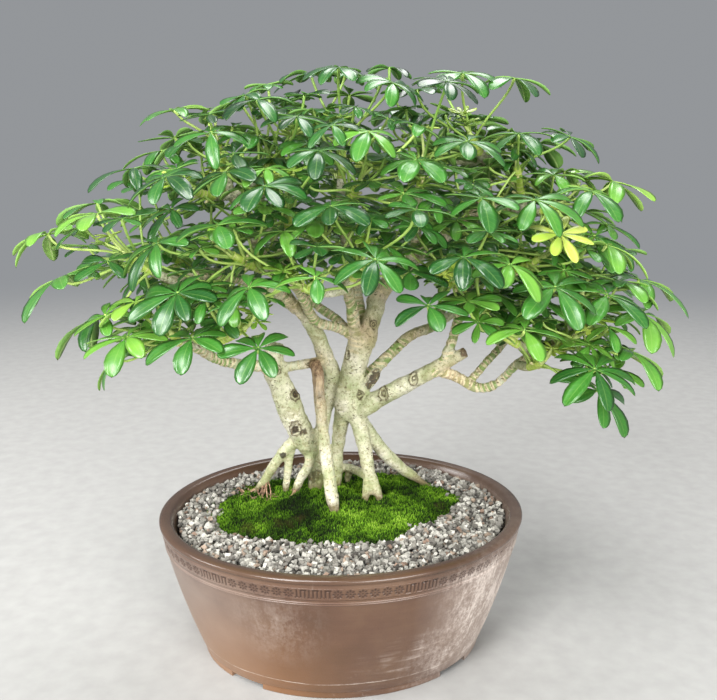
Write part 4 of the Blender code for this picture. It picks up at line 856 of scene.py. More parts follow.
def tube(route, sides):
    """Points and faces of a closed tube along a route."""
    centres = np.array([point.xyz for point in route])
    radii = np.array([point.w for point in route])
    ways = np.gradient(centres, axis=0)
    ways /= np.linalg.norm(ways, axis=1)[:, None]
    side = np.array(Vector(ways[0]).orthogonal().normalized())
    turns = np.arange(sides) * math.tau / sides
    rings = []
    for centre, radius, way in zip(centres, radii, ways):
        side = side - way * side.dot(way)
        side /= np.linalg.norm(side)
        other = np.cross(way, side)
        rings.append(centre + radius * (np.outer(np.cos(turns), side) + np.outer(np.sin(turns), other)))
    last = (len(rings) - 1) * sides
    faces = ring_faces(len(rings), sides)
    faces += [list(range(sides))[::-1], list(range(last, last + sides))]
    return np.concatenate(rings), faces


def gather(parts):
    """One list of points and one of faces from several."""
    points = []
    faces = []
    total = 0
    for part_points, part_faces in parts:
        points.append(part_points)
        faces += [[index + total for index in face] for face in part_faces]
        total += len(part_points)
    return np.concatenate(points), faces


# %% [markdown]
# ### Rootlets
#
# Where the outer roots on the left meet the moss, a tangle of thin red-brown rootlets runs out over it.
# Each is a short tube from a place on a root, which drops to the moss and wanders along it.

# %% Route the rootlets
ROOTLET_PLACES = ((-7.4, 3.3, 11.7), (-8.0, 3.5, 10.9), (-6.6, 3.1, 12.7), (-5.0, 3.1, 11.4),
                  (-4.0, 2.7, 12.1), (-8.3, 3.6, 10.6), (-7.0, 3.2, 12.2))
ROOTLETS_FROM_ONE = 4
ROOTLET_RADIUS = (0.045, 0.085)
ROOTLET_SPREAD = 1.5
ROOTLET_REST = 11.15


def rootlet_stations(place, look):
    """A thin root's stations, from inside its parent down to the moss and along it."""
    turn = look.uniform(math.pi * 0.75, math.pi * 1.9)
    radius = look.uniform(*ROOTLET_RADIUS)
    stations = [(*place, radius * 1.4)]
    x, y, z = place
    for step, height in enumerate((0.45, 0.05, 0.0, -0.35)):
        turn += look.uniform(-0.7, 0.7)
        x += math.cos(turn) * ROOTLET_SPREAD * look.uniform(0.25, 0.45)
        y += math.sin(turn) * ROOTLET_SPREAD * look.uniform(0.2, 0.4)
        level = ROOTLET_REST + (z - ROOTLET_REST) * height if step == 0 else ROOTLET_REST + height
        stations.append((x, y, level, radius * (1.0 - 0.15 * step)))
    return tuple(stations)


look = random.Random(21)
rootlets = {f"rootlet_{index}_{twin}": rootlet_stations(place, look)
            for index, place in enumerate(ROOTLET_PLACES) for twin in range(ROOTLETS_FROM_ONE)}
print("rootlets:", len(rootlets))

# %% Melt the tubes into one skin
WOOD_VOXEL = 1.15 * MM
WOOD_SPACING = 3 * MM
WOOD_SIDES = 20
CAD_LIMB_SPACING = 45 * MM
ROTTEN_STUB = ((1.5, 2.4, 20.8, 0.6), (2.2, 1.9, 21.7, 0.55), (2.7, 1.7, 22.3, 0.45), (2.9, 1.7, 22.9, 0.3))
limb_stations = {**TRUNKS_AND_ROOTS, **LIMBS, "rotten_stub": ROTTEN_STUB}
routes = {name: limb_route(stations, WOOD_SPACING) for name, stations in limb_stations.items()}
points, faces = gather([tube(route, WOOD_SIDES) for route in routes.values()])
mesh = bpy.data.meshes.new("tubes")
mesh.from_pydata(points.tolist(), [], faces)
tubes = into_scene("tubes", mesh)
melt = tubes.modifiers.new("melt", "REMESH")
melt.mode = "VOXEL"
melt.voxel_size = WOOD_VOXEL
relax = tubes.modifiers.new("relax", "SMOOTH")
relax.factor = 0.5
relax.iterations = 5
skin = bpy.data.meshes.new_from_object(tubes.evaluated_get(bpy.context.evaluated_depsgraph_get()))
bpy.data.objects.remove(tubes)
wood_points = np.empty(len(skin.vertices) * 3)
wood_normals = np.empty(len(skin.vertices) * 3)
skin.vertices.foreach_get("co", wood_points)
skin.vertex_normals.foreach_get("vector", wood_normals)
wood_points = wood_points.reshape(-1, 3)
wood_normals = wood_normals.reshape(-1, 3)
wood_faces = [tuple(face.vertices) for face in skin.polygons]
print("wood skin:", len(wood_points), "points")

# %% [markdown]
# ### Where each point of the skin lies
#
# The bark changes along a limb: rings where leaves fell, brown and cracked on the old aerial root, tan
# where many limbs part. So each point of the skin looks up the nearest place on the routes, and takes from
# it the limb's name, its thickness there and the way travelled along it.

# %% Look up each point of the skin
ways_along = {}
for name, route in routes.items():
    total = 0.0
    ways_along[name] = []
    for before, point in zip([route[0], *route], route):
        total += (point - before).xyz.length
        ways_along[name].append(total)
route_points = [(name, index, point) for name, route in routes.items() for index, point in enumerate(route)]
route_tree = kdtree.KDTree(len(route_points))
for number, (_, _, point) in enumerate(route_points):
    route_tree.insert(point.xyz, number)
route_tree.balance()
nearest = [route_points[route_tree.find(point)[1]] for point in wood_points]
thickness = np.array([point.w for _, _, point in nearest])
travelled = []
for place, (name, index, point) in zip(wood_points, nearest):
    route = routes[name]
    ahead = route[min(index + 1, len(route) - 1)] - route[max(index - 1, 0)]
    travelled.append(ways_along[name][index] + (Vector(place) - point.xyz).dot(ahead.xyz.normalized()))
travelled = np.array(travelled)
is_limb = np.array([name in LIMBS for name, _, _ in nearest], dtype=float)
on_brown_root = np.array([name == "brown_aerial_root" for name, _, _ in nearest], dtype=float)
heights = wood_points[:, 2]
print("thickness:", round(thickness.min() * 1000, 1), "to", round(thickness.max() * 1000, 1), "mm")

# %% [markdown]
# ### Scars, rings and lumps
#
# Where a branch was cut, the bark has closed round the wound in an eye-shaped ring. Each scar is a place on
# the wood with a size: the skin rises in a ring round it and sinks in the middle. Thin limbs carry a ring
# for each fallen leaf, a few millimetres apart; on the thick trunks these have been stretched away to faint
# creases. Some scars and a broken stub have rotted: there the skin is torn and lumpy. Three more such dark,
# lumpy places sit low in the gaps between the roots, where their dark colour is painted shade. The same
# distances are kept as values on the skin, so that the bark's finish can colour scars, rings, rot and that
# painted shade.

# %% Shape the bark
SCARS = (
    (3.3, 0.9, 20.95, 5.5), (5.7, 0.1, 22.5, 4.8), (-3.9, 1.2, 20.7, 5.0), (-3.85, 1.2, 17.7, 5.5),
    (1.5, 1.5, 20.5, 4.5), (2.7, 2.0, 26.6, 3.6), (-5.2, 1.1, 23.0, 3.6), (0.4, 1.6, 24.0, 3.2),
    (2.0, 3.2, 28.6, 3.6), (8.0, 3.2, 32.6, 4.0),
)
SCAR_REACH = 1.6
SCAR_HEIGHT = 1.2 * MM
SCAR_LINE_PERIOD = 0.46
# The last three places lie low in the gaps between the roots; their dark colour there is painted shade.
ROT_AND_SHADE_PLACES = (
    (2.8, 1.6, 22.5, 7.0), (2.2, 1.4, 21.3, 5.0), (2.5, 1.6, 22.0, 6.0), (-3.8, 1.1, 20.7, 5.0),
    (-4.0, 1.0, 17.6, 5.0), (-3.2, 1.3, 17.5, 4.2), (-5.1, 2.2, 15.0, 4.0), (9.9, -0.6, 24.9, 5.0),
    (-2.4, 1.8, 23.4, 4.5), (-2.3, 2.9, 12.8, 9.0), (-1.4, 3.4, 14.0, 8.0), (0.3, 4.2, 12.6, 7.0),
)
BROWN_ROOT_LOW = 16.5 * CM
BROWN_ROOT_TOP = 23.5 * CM
STUB_PLACE = (9.9, -0.5, 24.8)
PARTING_PLACES = ((1.7, 2.3, 25.8, 15), (-2.2, 2.0, 23.4, 9), (9.0, -0.2, 22.6, 16), (5.9, 4.5, 25.1, 9),
                  (3.3, 3.4, 29.2, 12), (11.4, 3.9, 36.5, 14), (-3.9, 1.0, 28.4, 9))
WOOD_RING_SPACING = 5.2 * MM
WOOD_RING_WIDTH = 1.0 * MM
RINGED_THICKNESS = (4.5 * MM, 7.5 * MM)
FOOT_TAPER = 0.30
SWELLING_SHARE = 0.14
SWELLING_LENGTH = 16 * MM
LUMP_SHARE = 0.09
HIGHEST_LUMP = 0.7 * MM
LUMP_LENGTH = 6 * MM
FRONT_REACH = 1.5 * MM
FRONT_DEPTH = 9 * MM

brown = on_brown_root * np.clip((heights - BROWN_ROOT_LOW) / (BROWN_ROOT_TOP - BROWN_ROOT_LOW), 0, 1)
tan_mark = np.zeros(len(wood_points))
for x, y, z, size in PARTING_PLACES:
    distance = np.linalg.norm(wood_points - np.array(tree_point(x, y, z)), axis=1)
    tan_mark = np.maximum(tan_mark, ridge(distance, size * MM))
root_foot = (1 - is_limb) * np.clip((124 * MM - heights) / (13 * MM), 0, 1)
tan_mark = np.maximum(tan_mark, 0.8 * root_foot)

sway = lump(wood_points, SWELLING_LENGTH)
foot_taper = FOOT_TAPER * (1 - is_limb) * np.clip((122 * MM - heights) / (10 * MM), 0, 1)
lift = thickness * (SWELLING_SHARE * sway - foot_taper)
lift += np.minimum(LUMP_SHARE * thickness, HIGHEST_LUMP) * lump(wood_points, LUMP_LENGTH, 4.0)
stretched = wood_points * (1, 1, 0.25)
lift += (0.10 * MM + 0.35 * MM * brown) * lump(stretched, 1.8 * MM, 8.0)
lift += 0.5 * MM * tan_mark * lump(wood_points, 3.2 * MM, 6.0)
turns_of_ring = travelled / WOOD_RING_SPACING + 1.3 * sway
from_ring = (turns_of_ring - np.floor(turns_of_ring) - 0.5) * WOOD_RING_SPACING
thin = np.clip((RINGED_THICKNESS[1] - thickness) / (RINGED_THICKNESS[1] - RINGED_THICKNESS[0]), 0.15, 1)
ring_mark = ridge(from_ring, WOOD_RING_WIDTH) * thin * (0.25 + 0.75 * is_limb)
ring_mark = ring_mark * np.clip(0.75 + 1.1 * lump(wood_points, 6 * MM, 21.0), 0.1, 1)
lift += 0.50 * MM * ring_mark
lift += (0.15 + 0.35 * thin * is_limb) * MM * lump(wood_points, 4.2 * MM, 27.0)
front_points = wood_points @ np.array(Matrix.Rotation(TREE_TURN, 3, "Z"))


def on_front(x, y, z):
    """The foremost point of the skin at a place of the tree's front view, if it is near that place."""
    away = front_points - np.array((x, y, z)) * CM
    near = (np.hypot(away[:, 0], away[:, 2]) < FRONT_REACH) & (np.abs(away[:, 1]) < FRONT_DEPTH)
    near = np.flatnonzero(near)
    return wood_points[near[np.argmin(away[near, 1])]] if len(near) else np.array(tree_point(x, y, z))


scar_mark = np.zeros(len(wood_points))
torn = lump(wood_points, 2.5 * MM, 12.0)
for x, y, z, size in SCARS:
    away = (wood_points - on_front(x, y, z)) * (1, 1, 0.75)
    distance = np.linalg.norm(away, axis=1) / (size * MM) * (1 + 0.25 * torn)
    lift += SCAR_HEIGHT * (ridge(distance - 0.85, 0.30) - 0.9 * ridge(distance, 0.45))
    scar_mark = np.maximum(scar_mark, np.clip(1 - distance / SCAR_REACH, 0, 1))
rot_and_shade_mark = np.zeros(len(wood_points))
for x, y, z, size in ROT_AND_SHADE_PLACES:
    distance = np.linalg.norm(wood_points - on_front(x, y, z), axis=1) / (size * MM)
    rot_and_shade_mark = np.maximum(rot_and_shade_mark, ridge(distance, 0.8) * np.clip(0.8 + 0.9 * torn, 0, 1))
lift += rot_and_shade_mark * (0.6 * MM + 1.5 * MM * lump(wood_points, 3.0 * MM, 33.0))
stub_distance = np.linalg.norm(wood_points - np.array(tree_point(*STUB_PLACE)), axis=1)
brown = np.maximum(brown, 0.6 * ridge(stub_distance, 5 * MM))
wood_points = wood_points + wood_normals * lift[:, None]
print("scars:", len(SCARS), " brown share:", round(float(brown.mean()), 3))

# %% [markdown]
# ### The bark
#
# Young bark of this tree is smooth and cream, with a thin green bloom of algae in the shade, small dark
# breathing pores, and a darker speckle where the skin has split. On the thin limbs patches of it are still
# green. The bark of the old aerial root is pinkish brown and cracked along its length, and where limbs part
# it is tan. Low on the roots it turns olive, and just above the moss it is painted dark brown: a painted
# contact shadow. Bark is fairly dull: a roughness near 0.6, and the IOR of wood's cell walls, about 1.5.

# %% Finish: pale bark
bark, shader, spot = new_finish("smooth cream bark")
young, tan, ring, scar, rot_and_shade, brown_mark = [
    add(bark, "Attribute", output=2, attribute_name=name)
    for name in ("young", "tan", "ring", "scar", "rot_and_shade", "brown")]
algae = add(bark, "TexNoise", {"Vector": spot, "Scale": 48.0, "Detail": 6.0, "Roughness": 0.62})
BARK_TONES = ((0.32, "a1aa77"), (0.42, "c1c59b"), (0.51, "dad9b7"), (0.63, "f2edd8"))
tones = add(bark, "ValToRGB", {0: algae}, stops=BARK_TONES)
height = add(bark, "SeparateXYZ", {0: spot}, 2)
green_patches = add(bark, "TexNoise", {"Vector": spot, "Scale": 75.0, "Detail": 3.0})
young_share = add(bark, "Math", {0: young, 1: 0.28, 2: green_patches}, operation="MULTIPLY_ADD")
green_share = add(bark, "MapRange", {0: young_share, 1: 0.74, 2: 0.82, 4: 0.85})
tan_share = add(bark, "Math", {0: tan, 1: 0.75}, operation="MULTIPLY")
ring_share = add(bark, "MapRange", {0: ring, 1: 0.08, 2: 0.28, 4: 0.9})
ring_line = add(bark, "MapRange", {0: ring, 1: 0.55, 2: 0.80, 4: 0.50})
across = add(bark, "Mapping", {0: spot, "Scale": (230, 230, 520)})
pores = add(bark, "TexVoronoi", {"Vector": across, "Scale": 1.0})
clusters = add(bark, "TexNoise", {"Vector": spot, "Scale": 130.0, "Detail": 3.0})
pore_size = add(bark, "MapRange", {0: clusters, 1: 0.42, 2: 0.66, 3: 0.04, 4: 0.34})
pore_share = add(bark, "Math", {0: pore_size, 1: pores}, operation="SUBTRACT")
pore_share = add(bark, "MapRange", {0: pore_share, 1: 0.0, 2: 0.08, 4: 0.85})
speckle = add(bark, "TexNoise", {"Vector": spot, "Scale": 430.0, "Detail": 7.0, "Roughness": 0.75})
speckle_share = add(bark, "MapRange", {0: speckle, 1: 0.52, 2: 0.62, 4: 0.82})
weather = add(bark, "TexNoise", {"Vector": spot, "Scale": 95.0, "Detail": 5.0, "Roughness": 0.7})
weather_share = add(bark, "MapRange", {0: weather, 1: 0.51, 2: 0.63, 4: 0.60})
bark_layers = ((green_share, "7fa348"), (tan_share, "c9a781"), (ring_share, "eedfb9"), (ring_line, "8a6c42"),
               (pore_share, "5f5330"), (speckle_share, "7d7448"), (weather_share, "9f9a68"))
for share, code in bark_layers:
    tones = add(bark, "Mix", {0: share, 6: tones, 7: linear(code)}, 2, data_type="RGBA")
print("bark:", len(bark_layers), "layers on the cream")

# %% Scars, cracks and the brown root on the bark
scar_waves = add(bark, "Math", {0: scar, 1: SCAR_REACH * math.tau / SCAR_LINE_PERIOD}, operation="MULTIPLY")
torn_edge = add(bark, "Math", {0: weather, 1: 14.0, 2: scar_waves}, operation="MULTIPLY_ADD")
torn_edge = add(bark, "Math", {0: speckle, 1: 5.0, 2: torn_edge}, operation="MULTIPLY_ADD")
scar_lines = add(bark, "Math", {0: torn_edge}, operation="SINE")
scar_lines = add(bark, "MapRange", {0: scar_lines, 1: -0.5, 2: 0.7, 4: 0.80})
broken = add(bark, "MapRange", {0: speckle, 1: 0.42, 2: 0.52, 3: 0.15})
scar_lines = add(bark, "Math", {0: scar_lines, 1: broken}, operation="MULTIPLY")
in_scar = add(bark, "MapRange", {0: scar, 1: 0.30, 2: 0.50})
scar_lines = add(bark, "Math", {0: scar_lines, 1: in_scar}, operation="MULTIPLY")
scar_tint = add(bark, "Math", {0: in_scar, 1: 0.30}, operation="MULTIPLY")
# Rot on the scars and the stub, and painted shade in the gaps low between the roots, share these dark tones.
rot_and_shade_edge = add(bark, "Math", {0: speckle, 1: 0.9, 2: rot_and_shade}, operation="MULTIPLY_ADD")
rot_and_shade_share = add(bark, "MapRange", {0: rot_and_shade_edge, 1: 0.66, 2: 0.92, 4: 0.92})
rot_and_shade_tones = add(bark, "ValToRGB", {0: speckle}, stops=((0.40, "1a130c"), (0.54, "4a3a26"), (0.66, "9c875c")))
fissures = add(bark, "Mapping", {0: spot, "Scale": (420, 420, 80)})
fissures = add(bark, "TexNoise", {"Vector": fissures, "Scale": 1.0, "Detail": 6.0, "Roughness": 0.7})
old = add(bark, "ValToRGB", {0: fissures}, stops=((0.34, "5c432d"), (0.48, "98765a"), (0.62, "c8ab88")))
low = add(bark, "MapRange", {0: height, 1: 0.150, 2: 0.112, 4: 0.8})
damp = add(bark, "MapRange", {0: algae, 1: 0.42, 2: 0.60, 3: 1.0, 4: 0.0})
damp = add(bark, "Math", {0: damp, 1: low}, operation="MULTIPLY")
# Just above the moss the bark is painted dark brown: a painted contact shadow where the roots meet it.
low_edge = add(bark, "Math", {0: speckle, 1: -0.012, 2: height}, operation="MULTIPLY_ADD")
painted_contact_shade = add(bark, "MapRange", {0: low_edge, 1: 0.1180, 2: 0.1105, 4: 0.75})
for share, colour in ((scar_tint, linear("a3946a")), (scar_lines, linear("5c4c30")), (rot_and_shade_share, rot_and_shade_tones),
                      (brown_mark, old), (damp, linear("8a8f52")), (painted_contact_shade, linear("5d4c28"))):
    tones = add(bark, "Mix", {0: share, 6: tones, 7: colour}, 2, data_type="RGBA")
relief = add(bark, "Math", {0: speckle, 1: -1.0, 2: pore_share}, operation="MULTIPLY_ADD")
relief = add(bark, "Math", {0: scar_lines, 1: -1.0, 2: relief}, operation="MULTIPLY_ADD")
relief = add(bark, "Math", {0: fissures, 1: relief}, operation="SUBTRACT")
relief = add(bark, "Bump", {"Height": relief, "Strength": 0.9, "Distance": 1.2 * MM})
connect(bark, shader, {"Base Color": tones, "Roughness": 0.62, "Normal": relief, "IOR": 1.5})
piece("trunks_and_limbs", wood_points, wood_faces, [bark], ["tree"],
      marks={"scar": scar_mark, "brown": brown, "ring": ring_mark, "tan": tan_mark, "rot_and_shade": rot_and_shade_mark,
             "young": thin * is_limb})

# %% Build the rootlets
points, faces = gather([tube(limb_route(stations, 1.5 * MM), 7) for stations in rootlets.values()])
points = points + 0.25 * MM * lump(points, 2.5 * MM)[:, None]
rootlet_skin, shader, spot = new_finish("red-brown rootlet")
wrinkles = add(rootlet_skin, "TexNoise", {"Vector": spot, "Scale": 380.0, "Detail": 5.0})
ROOTLET_TONES = ((0.3, "4e3a2a"), (0.5, "876850"), (0.7, "b89a7c"))
tones = add(rootlet_skin, "ValToRGB", {0: wrinkles}, stops=ROOTLET_TONES)
relief = add(rootlet_skin, "Bump", {"Height": wrinkles, "Strength": 0.5, "Distance": 0.3 * MM})
connect(rootlet_skin, shader, {"Base Color": tones, "Roughness": 0.75, "Normal": relief, "IOR": 1.5})
piece("rootlets", points, faces, [rootlet_skin])

# %% [markdown]
# ## Leafy shoots
#
# Every limb ends in twigs, and each twig in a green stem with a tuft of leaves. The plain model gives each
# shoot the place of its tip and of its main leaves. The twig is a curve from the nearest good place on a
# limb: its first half is wood, its second half a green stem ringed by the scars of fallen leaves.

# %% Places of shoots and their main leaves
SHOOTS = (
    ((-15.2, -5.0, 33.0), (-21.6, -3.2, 34.4), (-16.6, -7.4, 36.2), (-19.4, -7.6, 31.8),
     (-18.6, -0.8, 36.4)),
    ((-12.0, -6.8, 27.6), (-17.4, -5.8, 28.6), (-14.2, -10.6, 28.2), (-15.8, -2.4, 27.2)),
    ((-10.2, -5.0, 37.6), (-14.4, -5.2, 39.2), (-11.4, -9.0, 38.7), (-13.2, -1.8, 40.4)),
    ((-8.8, -3.4, 41.0), (-11.6, -4.2, 43.2), (-8.6, -7.2, 41.6)),
    ((-7.4, -7.6, 33.4), (-7.6, -11.8, 35.8), (-12.0, -9.8, 34.4), (-10.4, -11.8, 31.4)),
    ((-6.6, -8.6, 28.4), (-9.4, -12.6, 28.6), (-5.0, -13.8, 28.2)),
    ((-2.6, -9.0, 31.4), (-5.4, -14.4, 32.2), (-1.2, -15.6, 33.0)),
    ((1.6, -8.0, 33.0), (2.4, -15.2, 34.0), (-0.4, -12.2, 37.0), (5.0, -12.2, 36.8)),
    ((-3.6, -6.6, 37.0), (-4.6, -11.4, 38.2), (-7.2, -8.8, 39.4), (-1.2, -10.0, 40.4)),
    ((1.4, -5.0, 38.2), (2.0, -9.4, 41.6), (5.2, -8.8, 39.8)),
    ((-4.4, -2.4, 40.2), (-5.6, -5.8, 43.8), (-2.8, -7.4, 43.0), (-7.4, -1.2, 44.0)),
    ((0.2, -1.8, 41.2), (0.0, -4.4, 46.0), (3.0, -4.8, 45.2), (-2.2, -0.2, 46.0)),
    ((6.0, -3.6, 39.6), (5.8, -6.4, 43.8), (8.6, -8.2, 41.0)),
    ((9.8, -0.6, 41.4), (8.8, -3.2, 45.9), (12.6, -2.2, 45.5), (7.8, 1.6, 45.8)),
    ((13.4, -0.4, 39.2), (16.8, -2.4, 41.4), (14.0, -4.8, 41.8), (15.6, 2.6, 41.0)),
    ((16.6, -0.8, 36.4), (20.2, -2.2, 38.2), (17.8, -5.4, 37.6)),
    ((11.0, -4.8, 34.8), (13.2, -8.6, 37.2), (9.4, -10.0, 37.4)),
    ((14.4, -5.2, 32.8), (14.8, -9.4, 35.0), (18.6, -6.4, 34.4), (14.4, -10.6, 31.6)),
    ((8.0, -7.4, 31.6), (8.0, -12.4, 33.8), (11.2, -11.4, 33.2), (5.8, -13.0, 30.8)),
    ((10.8, -7.6, 28.4), (12.2, -12.0, 29.0)),
    ((17.8, -4.4, 30.0), (22.4, -3.2, 31.0), (21.8, -6.2, 29.0), (18.4, -8.8, 30.8)),
    ((17.0, -6.4, 27.2), (20.6, -7.6, 26.6), (17.4, -10.6, 26.0)),
    ((14.8, -5.6, 25.2), (18.6, -7.4, 23.6)),
    ((-13.8, 2.6, 32.0), (-19.2, 2.8, 32.0), (-16.6, 7.0, 32.8)),
    ((-11.2, 7.2, 29.0), (-14.8, 10.4, 28.6), (-10.2, 13.0, 28.6)),
    ((-9.4, 3.4, 37.2), (-13.0, 5.0, 38.4), (-9.2, 7.8, 39.8)),
    ((-6.2, 9.4, 32.8), (-9.2, 13.4, 33.8), (-4.4, 15.2, 32.4)),
    ((1.2, 12.4, 32.4), (-1.2, 16.0, 32.6), (4.0, 15.8, 31.6)),
    ((-0.4, 8.4, 37.2), (-3.4, 12.2, 38.2), (2.2, 12.6, 38.4)),
    ((-2.6, 3.0, 41.0), (-4.8, 5.6, 43.8), (-0.8, 6.8, 43.2), (0.4, 2.8, 46.2)),
    ((6.6, 3.4, 40.4), (4.2, 6.2, 43.6), (8.6, 7.2, 42.4), (4.4, 1.4, 46.0)),
    ((8.4, 10.0, 33.6), (6.4, 14.8, 34.8), (11.6, 13.8, 33.2)),
    ((12.4, 5.4, 38.4), (12.0, 9.6, 39.4), (16.2, 6.8, 38.0)),
    ((16.6, 3.2, 31.6), (21.2, 1.6, 33.6), (19.6, 6.6, 31.4)),
    ((11.8, 6.6, 28.6), (15.0, 9.8, 28.2)),
)
print("shoots:", len(SHOOTS), " main leaves:", sum(len(shoot) - 1 for shoot in SHOOTS))

# %% Twigs and stems
TWIG_RADIUS = 4.0 * MM
TWIG_TO_LIMB = 0.9
TWIG_SAG = 0.14
TWIG_LENGTH = 36 * MM
TWIG_RISE = 20 * MM
SHORT_COST = 4
HIGH_COST = 0.8
STEM_TIP_RADIUS = 2.4 * MM
STEM_SPANS = 4
WOODY_SHARE = 0.5


def station(place, radius):
    """A place on a route with the radius there."""
    return Vector((*place, radius))


def twig_curve(start, tip, steps):
    """The curve from a limb to a shoot's tip, as (x, y, z, radius) vectors."""
    span = tip - start.xyz
    middle = start.xyz + span * 0.5 - UP * span.length * TWIG_SAG
    thick = min(TWIG_RADIUS, start.w * TWIG_TO_LIMB)
    curve = []
    for step in range(steps + 1):
        t = step / steps
        place = start.xyz * (1 - t) ** 2 + middle * 2 * t * (1 - t) + tip * t * t
        curve.append(station(place, thick + (STEM_TIP_RADIUS - thick) * t))
    return curve


def twig_start(tip, limb_points):
    def cost(point):
        reach = (tip - point.xyz).length
        too_near = max(0.0, TWIG_LENGTH - reach)
        too_high = max(0.0, point.z + TWIG_RISE - tip.z)
        return reach + SHORT_COST * too_near + HIGH_COST * too_high

    return min(limb_points, key=cost)


limb_points = [point for name in LIMBS for point in limb_route(LIMBS[name], CAD_LIMB_SPACING)[1:]]
shoot_starts = [twig_start(tree_point(*shoot[0]), limb_points) for shoot in SHOOTS]
print("twigs from", len({start.freeze() for start in shoot_starts}), "places on the limbs")

# %% [markdown]
# ### How a leaf sits
#
# A leaf of this tree is a hand of five to nine leaflets on one long stalk, the petiole. The hub where they
# meet faces mostly up and a little along its petiole and out of the crown, with some chance in it. The rule
# below is the plain model's own. Where it had to move a leaf to clear a neighbour, it tried again with
# another chance, so the kept try is the one whose hub is a corner of that shoot's solid.

# %% The rule for a leaf's pose
LEAFLET_LENGTH = 35 * MM
RIB_THICKNESS = 1.2 * MM
FACE_UP = 1.05
FACE_ALONG = 0.5
FACE_OUT = 0.15
FACE_SWAY = 0.25
FORWARD_OUT = 10 * MM
FORWARD_TURN = 0.3
CROWN_HALF_LENGTH = 26 * CM
MIDDLE_SIZE = 0.88
END_SIZE = 0.45
SIZE_RANGE = (0.86, 1.12)
DROOP_RANGE = (0.26, 0.46)
END_DROOP = 0.12
BACK_OF_CROWN = 20 * MM
FRONT_LEAFLETS = (5, 6, 6, 6, 7)
BACK_LEAFLETS = (5, 5, 6)
LEAF_TRIES = 60
LOOSE_TRIES = 12
LEAF_SHIFT = 16 * MM
LEAF_TILT = 0.5
LEAF_TURN = 0.4
LEAF_SHRINK = 0.12


def square_to(way, other):
    """A way turned square to another way."""
    return (way - other * way.dot(other)).normalized()


def chance_way(chance):
    """A vector with each part from -1 to 1."""
    return Vector([chance.uniform(-1, 1) for _ in range(3)])


def leaf_pose(tip, place, order, attempt):
    """A leaf's hub, how it faces and points, its length, its leaflets and its droop."""
    look = random.Random(order)
    nudge = random.Random(order * 1000 + attempt)
    loose = min(1.0, attempt / LOOSE_TRIES)
    hub = place + chance_way(nudge) * LEAF_SHIFT * loose
    reach = hub - tip
    outward = Vector((hub.x, hub.y, 0.0)).normalized()
    facing = UP * FACE_UP + reach.normalized() * FACE_ALONG + outward * FACE_OUT
    facing += chance_way(look) * FACE_SWAY + chance_way(nudge) * LEAF_TILT * loose
    facing.normalize()
    forward = square_to(reach + outward * FORWARD_OUT, facing)
    turn = look.uniform(-FORWARD_TURN, FORWARD_TURN) + nudge.uniform(-LEAF_TURN, LEAF_TURN) * loose
    forward.rotate(Matrix.Rotation(turn, 3, facing))
    to_end = abs(hub.x) / CROWN_HALF_LENGTH
    size = (MIDDLE_SIZE + END_SIZE * to_end) * look.uniform(*SIZE_RANGE) * (1 - LEAF_SHRINK * loose)
    leaflets = look.choice(FRONT_LEAFLETS if hub.y < BACK_OF_CROWN else BACK_LEAFLETS)
    droop = look.uniform(*DROOP_RANGE) + END_DROOP * to_end
    return hub, facing, forward, LEAFLET_LENGTH * size, leaflets, droop


def kept_pose(tip, place, order, corners):
    """The pose that the plain model kept for a leaf."""
    for attempt in range(LEAF_TRIES):
        pose = leaf_pose(tip, place, order, attempt)
        if corners.find(pose[0] + pose[1] * RIB_THICKNESS / 2)[2] < 0.1 * MM:
            return pose
    raise RuntimeError(f"leaf {order} isn't in the plain model")


def corner_tree(node):
    """A search tree over the corners of a plain solid."""
    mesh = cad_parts[node].data
    tree = kdtree.KDTree(len(mesh.vertices))
    for vertex in mesh.vertices:
        tree.insert(vertex.co, vertex.index)
    tree.balance()
    return tree


shoot_names = [f"leafy_shoot_{number:02d}" for number in range(1, len(SHOOTS) + 1)]
main_poses = []
for number, (tip, *places) in enumerate(SHOOTS):
    corners = corner_tree(shoot_names[number])
    main_poses.append([kept_pose(tree_point(*tip), tree_point(*place), 10 * number + index, corners)
                       for index, place in enumerate(places)])
print("found", sum(len(poses) for poses in main_poses), "main leaves in the plain model")

# %% [markdown]
# ### The leaves between the main ones
#
# The plain model has only the leaves that give the crown its outline. The real crown has several times as
# many. Each shoot gets more of them, its petioles fanned out round the stem. Every new leaf tries a handful
# of places and takes the one furthest from all other hubs, which fills the gaps evenly, as leaves that seek
# light do. All stay inside the crown's dome and above its lower edge, so the trunks and the windows between
# limbs stay open.

# %% Choose places for the leaves between
EXTRA_LEAVES = 12
EXTRA_TRIES = 24
EXTRA_ORDER = 10000
LEAST_DISTANCE = 14 * MM
EXTRA_SIZE = (0.60, 0.96)
EXTRA_UPRIGHT = 0.5
EXTRA_DROOP = (0.15, 1.05)
STEMS_IN_VIEW = (0, 1, 2, 4, 6, 11, 13, 14, 15, 17, 20, 22)
VIEW_RADIUS = 23 * MM
PETIOLE_REACH = (18 * MM, 58 * MM)
CROWN_MIDDLE = (0.3, -0.4, 27.0)
CROWN_REACH = (22.0, 15.4, 18.8)
SKIRT_PLACES = (-24, -14, -9, -4, 5, 9, 13, 20, 24)
SKIRT_HEIGHTS = (27, 25.5, 27.5, 31.5, 32.5, 29.5, 26, 25, 26)


def front_view(point):
    """A point of the pot's frame in centimetres of the tree's front view."""
    return Matrix.Rotation(-TREE_TURN, 3, "Z") @ point / CM


def in_crown(point):
    """Whether a leaf may have its hub here."""
    x, y, z = front_view(point)
    rise = max(0.0, z - CROWN_MIDDLE[2]) / CROWN_REACH[2]
    across = (x - CROWN_MIDDLE[0]) / CROWN_REACH[0]
    deep = (y - CROWN_MIDDLE[1]) / CROWN_REACH[1]
    return across ** 2 + deep ** 2 + rise ** 2 < 1 and z > np.interp(x, SKIRT_PLACES, SKIRT_HEIGHTS)


